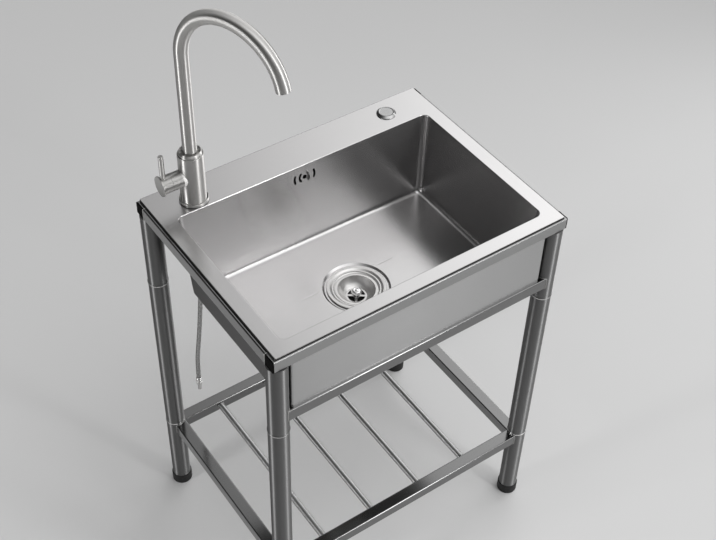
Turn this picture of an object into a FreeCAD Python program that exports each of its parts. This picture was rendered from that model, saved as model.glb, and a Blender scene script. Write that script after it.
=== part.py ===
import FreeCAD, Part
import math
import os
from FreeCAD import Placement, Rotation, Vector

# Freestanding stainless steel sink on a tube stand with a shelf, a drain and a cold tap.
# Millimetres, +Z up. The origin is on the floor under the middle of the stand.
# +X is to the right of someone who faces the sink, and +Y is towards the wall.

# Deck and bowl, pressed and folded from one sheet
deck_length = 600.0
deck_width = 450.0
deck_top = 810.0
deck_corner_radius = 3.0
deck_edge_height = 4.5
deck_edge_fillet = 1.0
sink_sheet = 1.2
bowl_side_margin = 29.0
bowl_front_margin = 28.0
bowl_rear_ledge = 80.0
bowl_depth = 180.0
bowl_wall_lean = 12.0
bowl_corner_radius = 13.0
bowl_floor_fillet = 10.0
bowl_lip_fillet = 1.5

# Pressed recess and creases in the bowl's floor
drain_x = 0.0
drain_behind_middle = 4.0
recess_top_radius = 64.0
recess_floor_radius = 60.0
recess_depth = 3.0
drain_hole_radius = 44.5
crease_length = 32.0
crease_gap = 3.0
crease_offset = 28.0
crease_radius = 5.0
crease_depth = 0.4

# Square tube of the stand
rail_size = 25.0
rail_wall = 1.2
rail_corner_radius = 2.5
frame_side_ledge = 6.0
frame_front_ledge = 2.0
end_plug_head = 2.5
end_plug_stem = 12.0
end_plug_wall = 2.0
end_plug_clearance = 0.1
end_plug_fillet = 0.8

# Front panel
apron_height = 112.5
apron_setback = 4.5
apron_sheet = 1.2
apron_return = 14.0
apron_corner_radius = 4.0
apron_left_gap = 1.0
apron_right_gap = 6.5

# Legs of three tubes each, and their feet
leg_diameter = 38.0
leg_wall = 1.2
leg_inset = 16.5
upper_joint_height = 614.0
lower_joint_height = 204.0
leg_plug_length = 30.0
leg_plug_clearance = 0.15
leg_shoulder = 1.0
joint_bead_rise = 0.9
joint_bead_radius = 1.6
foot_diameter = 42.0
foot_height = 24.0
foot_base = 4.0
foot_clearance = 0.05
foot_fillet = 1.8
foot_fillet_share = 0.9

# Shelf of square rails and round rods
shelf_top = 200.0
shelf_side_inset = 5.0
rod_count = 4
rod_diameter = 14.0
rod_wall = 1.2
rod_spacing_share = 0.2096
rod_offset_share = -0.0294

# Strainer in the bowl's floor
strainer_gasket_thickness = 1.0
strainer_gasket_width = 9.0
strainer_flange_radius = 56.0
strainer_flange_thickness = 2.2
strainer_flange_fillet = 0.9
strainer_lip_radius = 50.0
strainer_seat_radius = 41.0
strainer_seat_drop = 6.2
strainer_cup_radius = 37.5
strainer_cup_depth = 46.0
strainer_outer_radius = 43.5
strainer_floor_thickness = 3.0
strainer_outlet_radius = 17.0
strainer_spigot_radius = 24.0
strainer_spigot_length = 20.0
strainer_seal_radius = 57.0
strainer_seal_thickness = 3.0
strainer_thread_clearance = 0.1
locknut_radius = 56.0
locknut_height = 12.0
locknut_lug_count = 8
locknut_lug_width = 10.0
locknut_lug_depth = 4.0

# Tail below the strainer
tail_radius = 20.0
tail_wall = 1.5
tail_length = 45.0
tail_chamfer = 1.5
tail_shoulder_radius = 21.0
tail_shoulder_length = 5.0
tail_flange_radius = 23.5
tail_flange_thickness = 2.0
tail_washer_thickness = 2.0
tail_nut_wall = 4.0
tail_nut_overlap = 12.0
tail_nut_floor = 3.0
tail_nut_rib_count = 12
tail_nut_rib_radius = 2.0

# Lift-out basket
basket_sheet = 1.0
basket_side_clearance = 0.8
basket_seat_gap = 0.1
basket_depth = 17.0
basket_floor_radius = 20.0
basket_window_outer = 16.5
basket_window_inner = 6.5
basket_window_count = 4
basket_cross_width = 4.5
basket_post_radius = 3.0
basket_post_length = 18.0
basket_turn = -36.0
basket_knob_radius = 10.0
basket_knob_height = 15.5
basket_knob_neck = 4.0
knob_neck_share = 0.35
knob_head_share = 0.38
knob_crown_share = 0.06
stopper_radius = 20.5
stopper_thickness = 6.0
stopper_lip = 1.5

# Overflow in the bowl's rear wall
overflow_x = -6.0
overflow_drop = 27.5
overflow_slot_width = 4.5
overflow_slot_half_height = 10.0
overflow_inner_radius = 11.0
overflow_outer_radius = 21.6
overflow_screw_radius = 2.4
overflow_screw_head_radius = 4.2
overflow_screw_head_height = 2.2
overflow_screw_clearance = 0.3
overflow_screw_engagement = 9.0
overflow_boss_radius = 5.5
overflow_gasket_thickness = 1.5
overflow_gasket_width = 3.5
overflow_half_length = 30.0
overflow_half_height = 16.0
round_end_share = 0.98
overflow_depth = 16.0
overflow_wall = 1.8
overflow_spigot_radius = 10.5
overflow_spigot_length = 22.0

# Cap over the spare deck hole
cap_from_side = 92.0
cap_from_rear = 39.0
cap_radius = 19.0
cap_rim_height = 1.6
cap_height = 4.6
cap_plate_share = 0.76
cap_dish_share = 0.66
cap_dish_depth = 0.5
cap_edge_fillet = 0.6
cap_hole_radius = 12.0
cap_stem_radius = 5.0
cap_stem_length = 18.0
cap_nut_radius = 14.5
cap_nut_height = 6.0
cap_nut_clearance = 0.1

# Tap body on the deck
tap_from_side = 81.0
tap_from_rear = 52.5
tap_gasket_radius = 24.0
tap_gasket_thickness = 1.5
tap_flange_radius = 26.5
tap_flange_thickness = 5.0
tap_flange_fillet = 1.4
tap_body_radius = 23.0
tap_body_top = 105.0
tap_body_fillet = 0.8
tap_hole_radius = 12.0
shank_radius = 10.4
shank_bore = 6.0
shank_clearance = 0.2
shank_socket = 12.0
shank_drop = 60.0
tap_washer_radius = 20.0
tap_washer_thickness = 2.5
tap_nut_flats = 30.0
tap_nut_height = 10.0

# Valve in the side of the tap body
valve_height = 58.0
boss_radius = 16.0
boss_reach = 43.0
cartridge_radius = 11.0
cartridge_clearance = 0.05
cartridge_inner_end = 8.0
cartridge_outer_end = 40.0
cartridge_neck_radius = 7.0
cartridge_neck_end = 47.0
chamber_radius = 8.0
chamber_beyond_axis = 6.0
inlet_radius = 5.0
outlet_radius = 4.0
outlet_inset = 10.0
spindle_radius = 4.0
spindle_clearance = 0.05
spindle_inner_end = 21.0
spindle_outer_end = 57.0
spindle_end_gap = 1.0

# Handle that turns the spindle, and its lever
handle_gap = 0.3
handle_cavity_radius = 9.0
handle_cavity_end = 50.0
handle_disc_radius = 19.0
handle_disc_thickness = 2.6
handle_end = 63.0
handle_fillet = 0.6
lever_from_end = 7.4
lever_radius = 4.6
lever_top = 64.0
lever_end_fillet = 0.8
lever_foot = 13.5
lever_thread_radius = 2.5
lever_thread_end = 8.5
handle_screw_radius = 2.0
handle_screw_from_end = 9.0
handle_screw_sunk = 1.0

# Swan neck that swivels in the top of the tap body
spout_radius = 12.5
spout_bore = 11.0
spout_turn = 20.0
spout_arch_height = 308.0
spout_arch_radius = 104.0
spout_arch_sweep = 168.0
spout_socket_depth = 35.0
spout_socket_radius = 16.0
spout_foot_radius = 15.6
spout_foot_height = 7.0
spout_foot_gap = 0.6
spout_groove_depth = 2.0
spout_groove_width = 2.6
spout_fit_clearance = 0.05
spout_wear_gap = 0.3
bush_clearance = 0.05
collar_radius = 21.0
collar_height = 6.0
collar_chamfer = 2.6
seal_section_radius = 1.15
seal_clearance = 0.05
aerator_lip = 1.6
aerator_length = 12.0
aerator_clearance = 0.05
aerator_plate = 3.0
aerator_hole_radius = 1.1
aerator_hole_spacing = 3.6
aerator_wall = 1.6

# Supply hose that hangs from the shank
hose_diameter = 9.0
hose_nut_flats = 24.0
hose_nut_height = 16.0
hose_nut_overlap = 8.0
hose_sleeve_radius = 6.0
hose_sleeve_length = 16.0
hose_fitting_radius = 5.6
hose_fitting_sleeve = 20.0
hose_fitting_stem_radius = 4.0
hose_fitting_length = 38.0
hose_fitting_edge = 0.8
hose_bend_share = 0.45
# Route of the hose below its upper sleeve, across, back and down, chosen by hand
hose_route = [
    (0.0, 0.0, 0.0),
    (0.0, 0.0, -76.0),
    (-2.5, 4.5, -156.0),
    (-7.0, 8.5, -232.0),
    (-14.5, 8.8, -296.0),
    (-22.0, 7.4, -344.0),
    (-22.0, 7.4, -390.0),
]

# Cuts run past the faces that they open by this much
overrun = 5.0
# Points nearer than this count as one place
same_place = 0.005
full_turn = 360.0
square_turn = 90.0

# Places worked out from the sizes above
deck_half_length = deck_length / 2
deck_half_width = deck_width / 2
deck_underside = deck_top - sink_sheet
bowl_x = deck_half_length - bowl_side_margin
bowl_front_y = bowl_front_margin - deck_half_width
bowl_rear_y = deck_half_width - bowl_rear_ledge
bowl_floor = deck_top - bowl_depth
wall_lean_angle = math.degrees(math.atan2(bowl_wall_lean, bowl_depth))
wall_across = sink_sheet / math.cos(math.radians(wall_lean_angle))
recess_floor = bowl_floor - recess_depth
recess_underside = recess_floor - sink_sheet

frame_top = deck_top - deck_edge_height
frame_bottom = frame_top - rail_size
frame_half_length = deck_half_length + frame_side_ledge
frame_half_width = deck_half_width + frame_front_ledge
rail_half = rail_size / 2
frame_rail_z = frame_top - rail_half
apron_bottom = frame_bottom - apron_height
lower_rail_z = apron_bottom - rail_half

leg_radius = leg_diameter / 2
leg_x = frame_half_length - leg_inset
leg_y = frame_half_width - leg_inset
leg_places = {
    "front_left": Vector(-leg_x, -leg_y, 0),
    "front_right": Vector(leg_x, -leg_y, 0),
    "rear_left": Vector(-leg_x, leg_y, 0),
    "rear_right": Vector(leg_x, leg_y, 0),
}
shelf_rail_z = shelf_top - rail_half
shelf_side_x = leg_x - shelf_side_inset
shelf_clear_width = 2 * shelf_side_x - rail_size
rod_spacing = shelf_clear_width * rod_spacing_share
rod_group_offset = shelf_clear_width * rod_offset_share

drain_y = (bowl_front_y + bowl_rear_y) / 2 + drain_behind_middle
drain_centre = Vector(drain_x, drain_y, 0)
strainer_top = recess_floor + strainer_gasket_thickness + strainer_flange_thickness
strainer_seat = strainer_top - strainer_seat_drop
strainer_floor = strainer_seat - strainer_cup_depth
spigot_bottom = strainer_floor - strainer_floor_thickness - strainer_spigot_length
seal_bottom = recess_underside - strainer_seal_thickness
basket_top = strainer_seat + basket_seat_gap + basket_sheet
basket_floor = basket_top - basket_depth
post_bottom = basket_floor - basket_sheet - basket_post_length

cap_centre = Vector(deck_half_length - cap_from_side, deck_half_width - cap_from_rear, 0)
tap_centre = Vector(tap_from_side - deck_half_length, deck_half_width - tap_from_rear, 0)
body_bottom = deck_top + tap_gasket_thickness + tap_flange_thickness
body_top = deck_top + tap_body_top
valve_z = deck_top + valve_height
shank_bottom = deck_top - shank_drop
socket_bottom = body_top - spout_socket_depth
foot_bottom = socket_bottom + spout_foot_gap
bush_bottom = foot_bottom + spout_foot_height + spout_wear_gap
arch_z = deck_top + spout_arch_height
hose_nut_top = shank_bottom + hose_nut_overlap
hose_sleeve_bottom = hose_nut_top - hose_nut_height - hose_sleeve_length
hose_start = Vector(tap_centre.x, tap_centre.y, hose_sleeve_bottom)


# Helpers

def closed_wire(start, moves):
    """A closed wire. A move is an end point, or a pair of a middle and an end point for an arc."""
    edges = []
    here = start
    for move in moves + [start]:
        if isinstance(move, tuple):
            middle, end = move
            edges.append(Part.Arc(here, middle, end).toShape())
        else:
            end = move
            if here.distanceToPoint(end) > 0:
                edges.append(Part.LineSegment(here, end).toShape())
        here = end
    return Part.Wire(edges)


def turned(points, centre=Vector(0, 0, 0)):
    """A solid turned about the vertical axis through centre, from (radius, height) points."""
    def place(point):
        return Vector(point[0], 0, point[1])
    moves = []
    for point in points[1:]:
        if isinstance(point[0], tuple):
            moves.append((place(point[0]), place(point[1])))
        else:
            moves.append(place(point))
    face = Part.Face(closed_wire(place(points[0]), moves))
    solid = face.revolve(Vector(0, 0, 0), Vector(0, 0, 1), full_turn)
    solid.translate(centre)
    return solid


def round_corner(radius, height, fillet):
    """The start, then the middle and end, of an upper outer corner's rounding in a profile."""
    inset = fillet * (1 - math.sqrt(1 / 2))
    return [
        (radius, height - fillet),
        ((radius - inset, height - inset), (radius - fillet, height)),
    ]


def cap_arc(radius, low, high):
    """The middle and end points of a spherical cap's profile, from its edge to its top."""
    rise = high - low
    ball = (radius ** 2 + rise ** 2) / (2 * rise)
    half = math.asin(radius / ball) / 2
    return (ball * math.sin(half), high - ball * (1 - math.cos(half))), (0, high)


def cylinder(radius, bottom, top, centre=Vector(0, 0, 0)):
    """An upright cylinder between two heights."""
    return Part.makeCylinder(radius, top - bottom, Vector(centre.x, centre.y, bottom))


def ring(outer, inner, bottom, top, centre=Vector(0, 0, 0)):
    """An upright ring between two heights."""
    hole = cylinder(inner, bottom - overrun, top + overrun, centre)
    return cylinder(outer, bottom, top, centre).cut(hole)


def side_cylinder(radius, reach_from, reach_to, centre, height):
    """A cylinder that lies along X, measured towards -X from centre."""
    base = Vector(centre.x - reach_from, centre.y, height)
    return Part.makeCylinder(radius, reach_to - reach_from, base, Vector(-1, 0, 0))


def corner_point(corner, radius, angle):
    """A point on a rounded corner."""
    turn = math.radians(angle)
    return corner + Vector(radius * math.cos(turn), radius * math.sin(turn), 0)


def rounded_rectangle(x_low, x_high, y_low, y_high, radius, z=0.0):
    """A level rectangle with round corners, as a wire."""
    corners = [
        (Vector(x_high - radius, y_high - radius, z), 0),
        (Vector(x_low + radius, y_high - radius, z), square_turn),
        (Vector(x_low + radius, y_low + radius, z), 2 * square_turn),
        (Vector(x_high - radius, y_low + radius, z), 3 * square_turn),
    ]
    moves = []
    for corner, angle in corners:
        middle = corner_point(corner, radius, angle + square_turn / 2)
        end = corner_point(corner, radius, angle + square_turn)
        moves.append(corner_point(corner, radius, angle))
        moves.append((middle, end))
    return closed_wire(moves[0], moves[1:])


def slab(wire, height):
    """A level wire raised into a solid."""
    return Part.Face(wire).extrude(Vector(0, 0, height))


def edges_at(shape, test):
    """The edges of a shape whose every end point passes a test."""
    return [e for e in shape.Edges if e.Vertexes and all(test(v.Point) for v in e.Vertexes)]


def level_edges(shape, z):
    """The edges that lie at one height."""
    return edges_at(shape, lambda p: abs(p.z - z) < same_place)


def square_tube(start, end, size, wall, corner):
    """A square tube with round corners between two points at one height."""
    length = start.distanceToPoint(end)
    half = size / 2
    outer = slab(rounded_rectangle(-half, half, -half, half, corner), length)
    inner_corner = max(corner - wall, wall / 2)
    inside = half - wall
    hollow = slab(rounded_rectangle(-inside, inside, -inside, inside, inner_corner), length)
    tube = outer.cut(hollow)
    heading = end - start
    tube.Placement = Placement(start, Rotation(Vector(0, 0, 1), heading))
    return tube


def prism(sides, flats, bottom, top, centre):
    """An upright prism, such as a hexagon nut, by its width across flats."""
    radius = flats / 2 / math.cos(math.pi / sides)
    points = []
    for i in range(sides):
        angle = 2 * math.pi * i / sides
        x = centre.x + radius * math.cos(angle)
        y = centre.y + radius * math.sin(angle)
        points.append(Vector(x, y, bottom))
    return slab(closed_wire(points[0], points[1:]), top - bottom)


def nut(flats, bore, bottom, top, centre):
    """A hexagon nut with its corners turned off at both faces."""
    body = prism(6, flats, bottom, top, centre)
    corner = flats / 2 / math.cos(math.pi / 6)
    turn_off = corner - flats / 2
    blank = turned([
        (0, bottom),
        (flats / 2, bottom),
        (corner, bottom + turn_off / 2),
        (corner, top - turn_off / 2),
        (flats / 2, top),
        (0, top),
    ], Vector(centre.x, centre.y, 0))
    return body.common(blank).cut(cylinder(bore, bottom - overrun, top + overrun, centre))


def one(shape):
    """The single clean solid of a shape."""
    clean = shape.removeSplitter()
    solids = clean.Solids
    if len(solids) != 1:
        raise ValueError("expected one solid, found %d" % len(solids))
    return solids[0]


# Sink

def bowl_outline(z, outward):
    """The bowl's outline at a height, moved outward from its inner face."""
    lean = bowl_wall_lean * (deck_top - z) / bowl_depth
    return rounded_rectangle(
        -bowl_x + lean - outward,
        bowl_x - lean + outward,
        bowl_front_y + lean - outward,
        bowl_rear_y - lean + outward,
        bowl_corner_radius + outward,
        z,
    )


def bowl_block(top, bottom, outward, fillet):
    """The leaning block inside or outside the bowl's sheet, with its bottom edges rounded."""
    block = Part.makeLoft([bowl_outline(top, outward), bowl_outline(bottom, outward)], True, True)
    return block.makeFillet(fillet, level_edges(block, bottom))


def overflow_place():
    """The middle of the overflow on the bowl's rear wall, square to the leaning sheet."""
    lean = bowl_wall_lean * overflow_drop / bowl_depth
    point = Vector(overflow_x, bowl_rear_y - lean, deck_top - overflow_drop)
    return Placement(point, Rotation(Vector(1, 0, 0), square_turn - wall_lean_angle))


def set_on_wall(shape):
    """Moves a shape from its own level frame, whose -Z points out of the bowl, to the wall."""
    placed = shape.copy()
    placed.Placement = overflow_place().multiply(shape.Placement)
    return placed


def crescent(radius, side):
    """One upright curved slot of the overflow, on the left (-1) or right (1)."""
    half = overflow_slot_width / 2
    reach = math.asin((overflow_slot_half_height - half) / radius)

    def at(distance, angle):
        return Vector(side * distance * math.cos(angle), distance * math.sin(angle), 0)
    tip = half / radius
    outline = closed_wire(at(radius - half, -reach), [
        (at(radius, -reach - tip), at(radius + half, -reach)),
        (at(radius + half, 0), at(radius + half, reach)),
        (at(radius, reach + tip), at(radius - half, reach)),
        (at(radius - half, 0), at(radius - half, -reach)),
    ])
    cut = Part.Face(outline).extrude(Vector(0, 0, 2 * overrun))
    cut.translate(Vector(0, 0, -overrun))
    return cut


def overflow_cutter():
    """The slots and the screw hole of the overflow."""
    cuts = [cylinder(overflow_screw_radius + overflow_screw_clearance, -overrun, overrun)]
    for side in (-1, 1):
        cuts.append(crescent(overflow_inner_radius, side))
        cuts.append(crescent(overflow_outer_radius, side))
    return set_on_wall(Part.makeCompound(cuts))


def deck_shell():
    """The deck with its edge folded down, before the bowl is opened in it."""
    half_x = deck_half_length
    half_y = deck_half_width
    outline = rounded_rectangle(-half_x, half_x, -half_y, half_y, deck_corner_radius, frame_top)
    block = slab(outline, deck_edge_height)
    block = block.makeFillet(deck_edge_fillet, level_edges(block, deck_top))
    inside = rounded_rectangle(
        sink_sheet - half_x,
        half_x - sink_sheet,
        sink_sheet - half_y,
        half_y - sink_sheet,
        deck_corner_radius - sink_sheet,
        frame_top - overrun,
    )
    return block.cut(slab(inside, deck_edge_height - sink_sheet + overrun))


def floor_creases():
    """Two short pressed creases beside the drain."""
    cuts = []
    height = bowl_floor + crease_radius - crease_depth
    for side in (-1, 1):
        near = recess_top_radius + crease_gap
        start_x = drain_x + side * near
        start = Vector(start_x, drain_y + crease_offset, height)
        cuts.append(Part.makeCylinder(crease_radius, crease_length, start, Vector(side, 0, 0)))
    return cuts


def sink_bowl():
    """The sink in one sheet: deck, folded edge, leaning bowl and drain recess."""
    outside = bowl_block(deck_underside, bowl_floor - sink_sheet, wall_across,
                         bowl_floor_fillet + sink_sheet)
    recess_slope = (recess_top_radius - recess_floor_radius) / recess_depth
    dish = turned([
        (0, recess_underside),
        (recess_floor_radius + sink_sheet, recess_underside),
        (recess_top_radius + sink_sheet, recess_underside + recess_depth),
        (recess_top_radius + sink_sheet, bowl_floor),
        (0, bowl_floor),
    ], drain_centre)
    sink = deck_shell().fuse([outside, dish])
    inside = bowl_block(deck_top + overrun, bowl_floor, 0, bowl_floor_fillet)
    dish_cut = turned([
        (0, recess_floor),
        (recess_floor_radius, recess_floor),
        (recess_top_radius + recess_slope * overrun, bowl_floor + overrun),
        (0, bowl_floor + overrun),
    ], drain_centre)
    holes = [
        inside,
        dish_cut,
        cylinder(drain_hole_radius, recess_underside - overrun, bowl_floor, drain_centre),
        cylinder(tap_hole_radius, deck_underside - overrun, deck_top + overrun, tap_centre),
        cylinder(cap_hole_radius, deck_underside - overrun, deck_top + overrun, cap_centre),
    ]
    sink = one(sink.cut(holes))
    inner_x = bowl_x + bowl_lip_fillet
    inner_y = bowl_rear_y + bowl_lip_fillet
    lip = edges_at(sink, lambda p: abs(p.z - deck_top) < same_place
                   and abs(p.x) < inner_x and p.y < inner_y and p.y > bowl_front_y - bowl_lip_fillet)
    sink = sink.makeFillet(bowl_lip_fillet, lip)
    return one(sink.cut(floor_creases() + [overflow_cutter()]))


# Stand

def frame_rail_x(side):
    """The front (-1) or rear (1) rail of the top frame, the length of the stand."""
    y = side * (frame_half_width - rail_half)
    reach = frame_half_length - end_plug_head
    return square_tube(Vector(-reach, y, frame_rail_z), Vector(reach, y, frame_rail_z),
                       rail_size, rail_wall, rail_corner_radius)


def frame_rail_y(side):
    """The left (-1) or right (1) rail of the top frame, between the long ones."""
    x = side * (frame_half_length - rail_half)
    reach = frame_half_width - rail_size
    return square_tube(Vector(x, -reach, frame_rail_z), Vector(x, reach, frame_rail_z),
                       rail_size, rail_wall, rail_corner_radius)


def end_plug(side_x, side_y):
    """A plastic plug in one end of a long rail of the top frame."""
    half = rail_half
    head = slab(rounded_rectangle(-half, half, -half, half, rail_corner_radius), end_plug_head)
    head = head.makeFillet(end_plug_fillet, level_edges(head, end_plug_head))
    inside = rail_half - rail_wall - end_plug_clearance
    corner = max(rail_corner_radius - rail_wall, rail_wall / 2)
    stem = slab(rounded_rectangle(-inside, inside, -inside, inside, corner), end_plug_stem)
    core = inside - end_plug_wall
    hollow = slab(rounded_rectangle(-core, core, -core, core, corner / 2), end_plug_stem)
    stem = stem.cut(hollow)
    stem.translate(Vector(0, 0, -end_plug_stem))
    plug = one(head.fuse(stem))
    x = side_x * (frame_half_length - end_plug_head)
    y = side_y * (frame_half_width - rail_half)
    plug.Placement = Placement(Vector(x, y, frame_rail_z),
                               Rotation(Vector(0, 1, 0), side_x * square_turn))
    return plug


def rail_end_plugs():
    """The four plugs of the top frame's long rails."""
    return Part.makeCompound([end_plug(sx, sy) for sx in (-1, 1) for sy in (-1, 1)])


def leg_column(place, bottom, top):
    """The round space that a leg fills, which rails are cut to meet."""
    return cylinder(leg_radius, bottom - overrun, top + overrun, place)


def coped(rail, bottom, top):
    """A rail whose ends are cut round to sit against the legs."""
    columns = [leg_column(place, bottom, top) for place in leg_places.values()]
    parts = rail.cut(columns).Solids
    return max(parts, key=lambda solid: solid.Volume)


def front_lower_rail():
    """The rail under the front panel, from leg to leg."""
    y = rail_half - frame_half_width
    rail = square_tube(Vector(-leg_x, y, lower_rail_z), Vector(leg_x, y, lower_rail_z),
                       rail_size, rail_wall, rail_corner_radius)
    return coped(rail, apron_bottom - rail_size, apron_bottom)


def front_apron():
    """The front panel, a sheet whose upright edges are folded back round a radius."""
    clear_x = leg_x - leg_radius
    left_x = apron_left_gap - clear_x
    right_x = clear_x - apron_right_gap
    face_y = apron_setback - frame_half_width
    depth = apron_return
    outer = rounded_rectangle(left_x, right_x, face_y, face_y + 2 * depth, apron_corner_radius,
                              apron_bottom)
    inner = rounded_rectangle(
        left_x + apron_sheet,
        right_x - apron_sheet,
        face_y + apron_sheet,
        face_y + 2 * depth + overrun,
        apron_corner_radius - apron_sheet,
        apron_bottom,
    )
    panel = slab(outer, apron_height).cut(slab(inner, apron_height))
    back = Part.makeBox(right_x - left_x, 2 * depth, apron_height,
                        Vector(left_x, face_y + depth, apron_bottom))
    return one(panel.cut(back))


def bead(height, place):
    """The rolled ring at the mouth of a leg tube."""
    middle = leg_radius + joint_bead_rise - joint_bead_radius
    return Part.makeTorus(middle, joint_bead_radius, Vector(place.x, place.y, height))


def leg_top(place):
    """The upper leg tube, closed under the frame, with a rolled mouth at the joint."""
    bottom = upper_joint_height
    tube = cylinder(leg_radius, bottom, frame_bottom, place)
    tube = tube.fuse(bead(bottom + joint_bead_radius, place))
    return one(tube.cut(cylinder(leg_radius - leg_wall, bottom - overrun,
                                 frame_bottom - leg_wall, place)))


def leg_tube(place):
    """The middle leg tube, drawn in at both ends to plug into its neighbours."""
    top = upper_joint_height
    bottom = lower_joint_height
    plug = leg_radius - leg_wall - leg_plug_clearance
    return turned([
        (plug - leg_wall, bottom - leg_plug_length),
        (plug, bottom - leg_plug_length),
        (plug, bottom),
        (leg_radius - leg_shoulder, bottom),
        (leg_radius, bottom + leg_shoulder),
        (leg_radius, top - leg_shoulder),
        (leg_radius - leg_shoulder, top),
        (plug, top),
        (plug, top + leg_plug_length),
        (plug - leg_wall, top + leg_plug_length),
        (plug - leg_wall, top - leg_shoulder),
        (leg_radius - leg_wall, top - 2 * leg_shoulder),
        (leg_radius - leg_wall, bottom + 2 * leg_shoulder),
        (plug - leg_wall, bottom + leg_shoulder),
    ], place)


def leg_base(place):
    """The lower leg tube, from the foot to the rolled mouth at the joint."""
    top = lower_joint_height
    tube = cylinder(leg_radius, foot_base, top, place)
    tube = tube.fuse(bead(top - joint_bead_radius, place))
    return one(tube.cut(cylinder(leg_radius - leg_wall, foot_base - overrun,
                                 top + overrun, place)))


def foot(place):
    """A rubber cup on the end of a leg."""
    radius = foot_diameter / 2
    cup = cylinder(radius, 0, foot_height, place)
    cup = cup.cut(cylinder(leg_radius + foot_clearance, foot_base, foot_height + overrun, place))
    outer = [e for e in cup.Edges if abs(e.Length - 2 * math.pi * radius) < same_place]
    limit = (radius - leg_radius - foot_clearance) * foot_fillet_share
    return cup.makeFillet(min(foot_fillet, limit), outer)


def feet():
    """The four feet."""
    return Part.makeCompound([foot(place) for place in leg_places.values()])


# Shelf

def shelf_rail_x(side):
    """The front (-1) or rear (1) rail of the shelf, from leg to leg."""
    y = side * leg_y
    rail = square_tube(Vector(-leg_x, y, shelf_rail_z), Vector(leg_x, y, shelf_rail_z),
                       rail_size, rail_wall, rail_corner_radius)
    return coped(rail, shelf_top - rail_size, shelf_top)


def shelf_rail_y(side):
    """The left (-1) or right (1) rail of the shelf, cut to meet the legs and the long rails."""
    x = side * shelf_side_x
    rail = square_tube(Vector(x, -leg_y, shelf_rail_z), Vector(x, leg_y, shelf_rail_z),
                       rail_size, rail_wall, rail_corner_radius)
    blocks = []
    for end in (-1, 1):
        low_y = end * leg_y - rail_half
        blocks.append(Part.makeBox(2 * leg_x, rail_size, rail_size,
                                   Vector(-leg_x, low_y, shelf_top - rail_size)))
    columns = [leg_column(place, shelf_top - rail_size, shelf_top)
               for place in leg_places.values()]
    parts = rail.cut(columns).Solids
    trimmed = max(parts, key=lambda solid: solid.Volume).cut(blocks).Solids
    return max(trimmed, key=lambda solid: solid.Volume)


def shelf_rods():
    """The round rods of the shelf, between its front and rear rails."""
    rods = []
    reach = leg_y - rail_half
    radius = rod_diameter / 2
    for i in range(rod_count):
        x = rod_group_offset + (i - (rod_count - 1) / 2) * rod_spacing
        start = Vector(x, -reach, shelf_rail_z)
        rod = Part.makeCylinder(radius, 2 * reach, start, Vector(0, 1, 0))
        bore = Part.makeCylinder(radius - rod_wall, 2 * reach, start, Vector(0, 1, 0))
        rods.append(rod.cut(bore))
    return Part.makeCompound(rods)


# Drain

def strainer_gasket():
    """The flat ring between the recess and the strainer's flange."""
    outer = strainer_flange_radius - strainer_gasket_thickness
    return ring(outer, outer - strainer_gasket_width, recess_floor,
                recess_floor + strainer_gasket_thickness, drain_centre)


def strainer_body():
    """The strainer's flange, sloping lip, basket seat, cup and threaded outlet."""
    flange_bottom = strainer_top - strainer_flange_thickness
    outer = strainer_outer_radius
    cup_bottom = strainer_floor - strainer_floor_thickness
    return turned([
        (strainer_outlet_radius, spigot_bottom),
        (strainer_spigot_radius, spigot_bottom),
        (strainer_spigot_radius, cup_bottom),
        (outer - strainer_floor_thickness, cup_bottom),
        (outer, cup_bottom + strainer_floor_thickness),
        (outer, flange_bottom),
        (strainer_flange_radius, flange_bottom),
    ] + round_corner(strainer_flange_radius, strainer_top, strainer_flange_fillet) + [
        (strainer_lip_radius, strainer_top),
        (strainer_seat_radius, strainer_seat + basket_sheet),
        (strainer_seat_radius, strainer_seat),
        (strainer_cup_radius, strainer_seat),
        (strainer_cup_radius, strainer_floor + strainer_floor_thickness),
        (strainer_cup_radius - strainer_floor_thickness, strainer_floor),
        (strainer_outlet_radius, strainer_floor),
    ], drain_centre)


def strainer_seal():
    """The rubber ring that the locknut presses up against the sink."""
    return ring(strainer_seal_radius, strainer_outer_radius + strainer_thread_clearance,
                seal_bottom, recess_underside, drain_centre)


def strainer_locknut():
    """The lugged nut that holds the strainer in the sink."""
    bottom = seal_bottom - locknut_height
    body = ring(locknut_radius, strainer_outer_radius + strainer_thread_clearance,
                bottom, seal_bottom, drain_centre)
    notches = []
    for i in range(locknut_lug_count):
        notch = Part.makeBox(2 * locknut_lug_depth, locknut_lug_width, locknut_height / 2,
                             Vector(locknut_radius - locknut_lug_depth, -locknut_lug_width / 2,
                                    bottom))
        notch.rotate(Vector(0, 0, 0), Vector(0, 0, 1), i * full_turn / locknut_lug_count)
        notch.translate(drain_centre)
        notches.append(notch)
    return one(body.cut(notches))


def drain_tail_washer():
    """The washer between the strainer's outlet and the tail."""
    return ring(tail_flange_radius, tail_radius - tail_wall,
                spigot_bottom - tail_washer_thickness, spigot_bottom, drain_centre)


def drain_tail():
    """The flanged tail that a waste hose pushes onto."""
    top = spigot_bottom - tail_washer_thickness
    low = top - tail_flange_thickness - tail_length
    bore = tail_radius - tail_wall
    flange_low = top - tail_flange_thickness
    return turned([
        (bore, low),
        (tail_radius - tail_wall / 2, low),
        (tail_radius, low + tail_chamfer),
        (tail_radius, flange_low - tail_shoulder_length),
        (tail_shoulder_radius, flange_low - tail_shoulder_length),
        (tail_shoulder_radius, flange_low),
        (tail_flange_radius, flange_low),
        (tail_flange_radius, top),
        (bore, top),
    ], drain_centre)


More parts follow.
